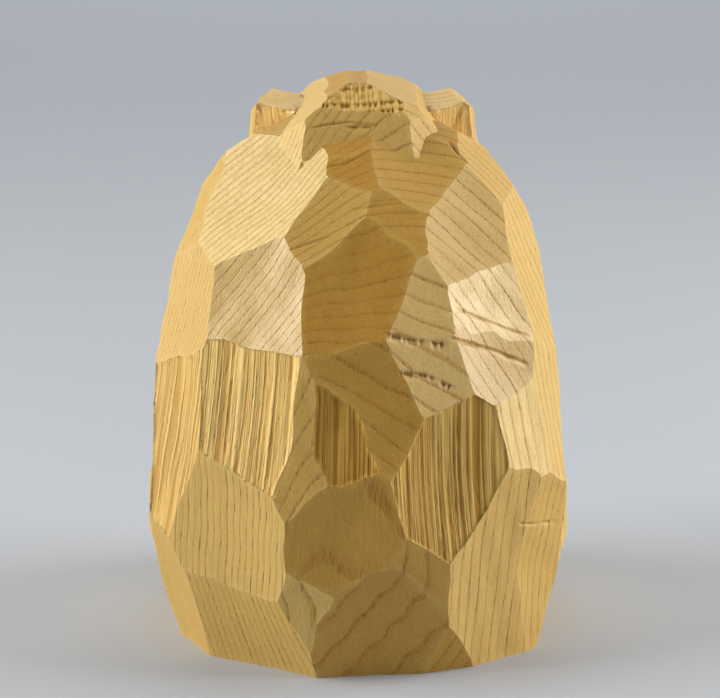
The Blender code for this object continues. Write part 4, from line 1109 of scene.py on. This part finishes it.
def ash_wood():
    """Bare ash: growth rings round a pith behind the bear, each starting with a band of open
    pores that run along the upright grain."""
    n = Nodes("pale_ash")
    p = n.position()
    x, y, z = n.split(p)
    xm, ym, zm = (n.math("MULTIPLY", v, 1000.0) for v in (x, y, z))

    def field(sx, sz, detail=2.0, rough=0.5, shift=0.0):
        v = n.join(n.math("DIVIDE", xm, sx), n.math("MULTIPLY_ADD", ym, 1.0 / sx, shift), n.math("DIVIDE", zm, sz))
        return n.noise(v, 1.0, detail, rough)

    def centred(v, amount):
        return n.math("MULTIPLY", n.math("SUBTRACT", v, 0.5), amount)

    # distance from the pith, in years
    wob = n.math("ADD", centred(field(38, 120, 1.0), 5.0), centred(field(7, 30, 2.0), 0.45))
    wob = n.math("ADD", wob, centred(field(1.6, 5.0, 1.0), 0.12))
    lean = n.math("MULTIPLY", n.math("SUBTRACT", zm, 50.0), 0.035)
    dx = n.math("SUBTRACT", n.math("SUBTRACT", xm, PITH[0]), n.math("MULTIPLY", lean, 0.6))
    dy = n.math("SUBTRACT", n.math("SUBTRACT", ym, PITH[1]), lean)
    r = n.math("SQRT", n.math("ADD", n.math("MULTIPLY", dx, dx), n.math("MULTIPLY", dy, dy)))
    width = n.span(xm, -16.0, 20.0, RING_WIDE, RING_NARROW, True)
    years = n.math("DIVIDE", n.math("ADD", n.math("SUBTRACT", r, 70.0), wob), width)
    year = n.math("FLOOR", years)
    saw = n.math("FRACT", years)
    yearly = n.noise(n.join(year, 0.37, 0.11), 3.7, 0.0)
    line = n.math("MULTIPLY", n.span(saw, 0.0, 0.05, 0, 1, True), n.span(saw, 0.13, 0.24, 1, 0, True))
    early = n.math("MULTIPLY", n.span(saw, 0.0, 0.05, 0, 1, True), n.span(saw, 0.12, 0.50, 1, 0, True))
    strong = n.span(yearly, 0.32, 0.68, 0.45, 1.0)
    line = n.math("MULTIPLY", line, strong)
    # pores: narrow tubes along the grain, crowded where a year starts
    cell = n.voronoi(n.join(n.math("DIVIDE", xm, 0.40), n.math("DIVIDE", ym, 0.40), n.math("DIVIDE", zm, 4.2)), 1.0)
    size = n.math("MULTIPLY_ADD", line, 0.34, 0.14)
    pore = n.math("SUBTRACT", 1.0, n.math("DIVIDE", cell, size), clamp=True)
    pore = n.span(pore, 0.0, 0.45, 0, 1, True)
    pore = n.math("MULTIPLY", pore, n.span(line, 0.0, 0.5, 0.42, 1.0))
    fibre = field(0.20, 7.0, 3.0, 0.65)
    thread = field(0.55, 26.0, 2.0, 0.55, 7.0)
    streak = field(1.9, 45.0, 2.0, 0.5, 3.0)
    speck = n.noise(n.join(n.math("DIVIDE", xm, 0.30), n.math("DIVIDE", ym, 0.30), n.math("DIVIDE", zm, 0.55)), 1.0, 2.0)
    cloud = field(15, 24, 3.0, 0.5, 11.0)
    torn, groove, ridge = n.attr("torn"), n.attr("groove"), n.attr("ridge")
    tone, sheen = n.attr("tone"), n.attr("sheen")
    # colour: the stroke's painted light and shade first, deeper orange for painted shade and paler for painted
    # light, then the figure of the wood, whose lines and specks also get shaded copies
    dark = n.math("MULTIPLY", tone, -1.0, clamp=True)
    light = n.math("MULTIPLY", tone, 1.0, clamp=True)
    base = n.mix(dark, LATE_WOOD, PAINTED_SHADE_WOOD)
    base = n.mix(light, base, (0.860, 0.640, 0.270))
    col = n.mix(n.math("MULTIPLY", early, 0.38), base, n.mix(dark, EARLY_WOOD, PAINTED_SHADE_EARLY))
    col = n.mix(n.math("MULTIPLY", line, n.span(dark, 0.0, 0.7, 0.62, 0.22)), col, n.mix(dark, PORE_LINE, PAINTED_SHADE_LINE))
    col = n.mix(n.span(streak, 0.35, 0.70, 0.0, 0.40), col, (0.560, 0.335, 0.075))
    col = n.mix(n.span(cloud, 0.40, 0.70, 0.0, 0.16), col, (0.660, 0.465, 0.150))
    col = n.mix(n.span(thread, 0.50, 0.72, 0.0, 0.38), col, (0.520, 0.290, 0.055))
    col = n.mix(n.math("MULTIPLY", n.span(fibre, 0.45, 0.75, 0.0, 0.42), n.math("SUBTRACT", 1.0, n.math("MULTIPLY", dark, 0.8))), col, (0.820, 0.600, 0.220))
    col = n.mix(n.span(speck, 0.50, 0.68, 0.0, 0.34), col, n.mix(dark, (0.500, 0.270, 0.050), PAINTED_SHADE_EARLY))
    col = n.mix(n.math("MULTIPLY", pore, n.span(dark, 0.0, 0.7, 0.62, 0.40)), col, PORE_DARK)
    stand = n.noise(n.join(n.math("DIVIDE", n.attr("across"), 0.50), n.math("DIVIDE", n.attr("down"), 30.0), 0.3), 1.0, 1.0)
    stand = n.span(stand, 0.42, 0.60, 0.0, 1.0, True)
    # torn grain: darker with the depth of its grooves, painted shade in the grooves, and in streaks of standing
    # fibres along them; the stroke's painted light and shade tint both colours
    split = n.math("ADD", n.math("MULTIPLY", n.span(groove, 0.15, 0.85, 0.0, 1.0), 0.50),
                   n.math("MULTIPLY", stand, 0.55), clamp=True)
    torn_col = n.mix(split, n.mix(dark, (0.930, 0.650, 0.210), (0.620, 0.340, 0.025)),
                     n.mix(light, n.mix(dark, (0.440, 0.200, 0.018), (0.290, 0.115, 0.004)), (0.620, 0.340, 0.070)))
    col = n.mix(n.math("MULTIPLY", torn, n.span(fibre, 0.3, 0.7, 0.70, 0.92)), col, torn_col)
    # painted shade in the torn steps and cracks: darker brown the deeper they are
    col = n.mix(n.math("MULTIPLY", n.attr("tear"), n.span(fibre, 0.3, 0.7, 0.35, 0.80)), col, (0.480, 0.230, 0.030))
    # paler along the ridges between strokes: a painted highlight on the ridges, with some edge wear
    col = n.mix(n.math("MULTIPLY", ridge, 0.16), col, (0.830, 0.620, 0.260))
    # painted sheen: glossy strokes have their colour whitened toward a pale pink, less on the ring lines
    col = n.mix(n.math("MULTIPLY", n.math("MULTIPLY", sheen, 0.22), n.span(line, 0.0, 1.0, 1.0, 0.1)), col,
                (0.84, 0.60, 0.31))
    # painted light and shade once more: colour multiplied deeper orange on strokes painted dark, paler and brighter
    # on strokes painted light
    painted_shade_and_light_gain = n.mix(dark, (1.0, 1.0, 1.0), (1.0, 0.84, 0.42))
    painted_shade_and_light_gain = n.mix(light, painted_shade_and_light_gain, (1.28, 1.32, 1.38))
    n.put(n.bsdf.inputs["Base Color"], n.mix(1.0, col, painted_shade_and_light_gain, "MULTIPLY"))
    # gloss: burnished where the gouge sliced cleanly, dull where the grain tore
    rough = n.span(sheen, 0.0, 1.0, 0.56, 0.34)
    rough = n.math("ADD", rough, centred(fibre, 0.22))
    rough = n.math("ADD", rough, n.math("MULTIPLY", pore, 0.20))
    rough = n.math("ADD", rough, n.math("MULTIPLY", torn, 0.20), clamp=True)
    n.put(n.bsdf.inputs["Roughness"], rough)
    n.bsdf.inputs["IOR"].default_value = 1.52
    n.put(n.bsdf.inputs["Specular IOR Level"], n.math("MULTIPLY", n.span(sheen, 0.0, 1.0, 0.42, 0.62),
                                                     n.span(dark, 0.0, 0.8, 1.0, 0.25)))
    # relief: open pores, raised fibres, chatter of the blade
    b = n.bump(n.math("MULTIPLY", pore, -1.0), 0.55, 0.00016)
    f2 = n.math("ADD", n.math("MULTIPLY", fibre, 0.7), n.math("MULTIPLY", line, -0.5))
    b = n.bump(f2, 0.45, 0.00012, b)
    b = n.bump(thread, 0.30, 0.00022, b)
    b = n.bump(speck, 0.35, 0.00012, b)
    b = n.bump(n.math("MULTIPLY", n.math("MULTIPLY", stand, torn), -1.0), 0.60, 0.00030, b)
    chat = n.noise(n.join(n.math("DIVIDE", xm, 2.6), n.math("DIVIDE", ym, 2.6), n.math("DIVIDE", zm, 1.3)), 1.0, 2.0)
    b = n.bump(chat, 0.14, 0.0004, b)
    n.put(n.bsdf.inputs["Normal"], b)
    return n.mat


def bead_glass():
    n = Nodes("black_glass")
    p = n.position()
    tint = n.noise(p, 900.0, 2.0)
    n.put(n.bsdf.inputs["Base Color"], n.mix(n.span(tint, 0.4, 0.6), (0.006, 0.005, 0.005), (0.020, 0.014, 0.010)))
    smear = n.noise(p, 1500.0, 3.0)
    n.put(n.bsdf.inputs["Roughness"], n.span(smear, 0.35, 0.75, 0.04, 0.16))
    n.bsdf.inputs["IOR"].default_value = 1.52
    n.bsdf.inputs["Coat Weight"].default_value = 0.4
    n.bsdf.inputs["Coat Roughness"].default_value = 0.03
    n.put(n.bsdf.inputs["Normal"], n.bump(smear, 0.05, 0.00002))
    return n.mat


def drawn_steel():
    n = Nodes("steel_wire")
    p = n.position()
    x, y, z = n.split(p)
    lines = n.noise(n.join(n.math("MULTIPLY", x, 9000), n.math("MULTIPLY", y, 600), n.math("MULTIPLY", z, 9000)),
                    1.0, 3.0)
    n.put(n.bsdf.inputs["Base Color"], n.mix(lines, (0.42, 0.41, 0.39), (0.66, 0.65, 0.62)))
    n.bsdf.inputs["Metallic"].default_value = 1.0
    n.put(n.bsdf.inputs["Roughness"], n.span(lines, 0.2, 0.8, 0.25, 0.45))
    n.put(n.bsdf.inputs["Normal"], n.bump(lines, 0.2, 0.00002))
    return n.mat


LATE_WOOD, EARLY_WOOD = (0.710, 0.455, 0.105), (0.560, 0.305, 0.045)
# shaded copies of the wood colours, for painted shade on strokes painted dark
PAINTED_SHADE_WOOD, PAINTED_SHADE_EARLY = (0.300, 0.115, 0.000), (0.260, 0.095, 0.000)
PAINTED_SHADE_LINE = (0.200, 0.065, 0.000)
PORE_LINE, PORE_DARK = (0.430, 0.170, 0.018), (0.270, 0.105, 0.012)

# =============================================================== build
body = make_body()
body.data.materials.append(ash_wood())
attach(body, "root")
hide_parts("carved_body")

glass, steel = bead_glass(), drawn_steel()
for name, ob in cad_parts.items():
    if name.startswith("eye_bead"):
        ob.data.materials.clear()
        ob.data.materials.append(glass)
    elif name.startswith("eye_shank"):
        ob.data.materials.clear()
        ob.data.materials.append(steel)


# =============================================================== studio
def stage_material(name, colour, rough, amount):
    n = Nodes(name)
    p = n.position()
    grain = n.noise(p, 900.0, 3.0)
    soft = n.noise(p, 3.0, 2.0)
    c = n.mix(n.span(soft, 0.3, 0.7, 0.0, amount), colour, tuple(v * 0.93 for v in colour))
    n.put(n.bsdf.inputs["Base Color"], c)
    n.bsdf.inputs["Roughness"].default_value = rough
    n.put(n.bsdf.inputs["Normal"], n.bump(grain, 0.05, 0.0001))
    return n.mat


def sweep():
    """Table top that curves up into the backdrop behind the bear."""
    bm = bmesh.new()
    prof = [(2.4, 0.0)]
    start, radius, top = -2.30, 0.60, 2.4
    prof += [(start - radius * math.sin(a), radius - radius * math.cos(a))
             for a in np.linspace(0, math.pi / 2, 24)]
    prof.append((start - radius, top))
    rows = [[bm.verts.new((x, y, z)) for y, z in prof] for x in (-3.0, 3.0)]
    for a, b, c, d in zip(rows[0], rows[0][1:], rows[1][1:], rows[1]):
        bm.faces.new((a, d, c, b))
    bmesh.ops.recalc_face_normals(bm, faces=bm.faces[:])
    mesh = bpy.data.meshes.new("sweep")
    bm.to_mesh(mesh)
    bm.free()
    for f in mesh.polygons:
        f.use_smooth = True
    ob = bpy.data.objects.new("sweep", mesh)
    bpy.context.collection.objects.link(ob)
    ob.data.materials.append(stage_material("paper", (0.47, 0.487, 0.51), 0.75, 0.3))
    return ob


sweep()


def softbox(name, place, aim, size, power, colour=(1, 1, 1)):
    data = bpy.data.lights.new(name, "AREA")
    data.shape, data.size, data.size_y = "RECTANGLE", size[0], size[1]
    data.energy, data.color = power, colour
    ob = bpy.data.objects.new(name, data)
    bpy.context.collection.objects.link(ob)
    ob.location = place
    ob.rotation_euler = (Vector(aim) - Vector(place)).to_track_quat("-Z", "Y").to_euler()
    return ob


aim = (0, 0, 0.06)
softbox("left_box", (0.61, 0.07, 0.35), aim, (0.50, 0.60), 5.6)
softbox("right_box", (-0.61, -0.03, 0.32), aim, (0.50, 0.60), 5.3)
softbox("top_box", (0.0, -0.35, 0.95), aim, (0.5, 0.4), 0.5)
softbox("far_wash", (0.0, 1.90, 0.90), (0, 1.95, 0.0), (2.2, 0.8), 4.0, (0.93, 0.96, 1.0))
softbox("back_wash", (0.0, -1.35, 0.90), (0, -1.20, 0.0), (1.8, 0.6), 11.5, (0.90, 0.95, 1.0))

world = bpy.data.worlds.new("studio")
bpy.context.scene.world = world
world.use_nodes = True
world.node_tree.nodes["Background"].inputs[0].default_value = (0.95, 0.97, 1.0, 1)
world.node_tree.nodes["Background"].inputs[1].default_value = 0.10
bpy.context.scene.view_settings.view_transform = "Standard"

cam_data = bpy.data.cameras.new("camera")
cam = bpy.data.objects.new("camera", cam_data)
bpy.context.collection.objects.link(cam)
bpy.context.scene.camera = cam
cam_data.sensor_fit = "HORIZONTAL"
cam_data.sensor_width = 36.0
cam_data.lens = 36.0 * EYE_DISTANCE / (720 * DRAW_UNIT)
cam_data.clip_start, cam_data.clip_end = 0.01, 20.0
target = Vector((-2.0 * DRAW_UNIT, SHIFT_Y, AIM_Z)) * MM
back = Vector(EYE_BACK)
cam.location = target + back * EYE_DISTANCE * MM
cam.rotation_euler = back.to_track_quat("Z", "Y").to_euler()
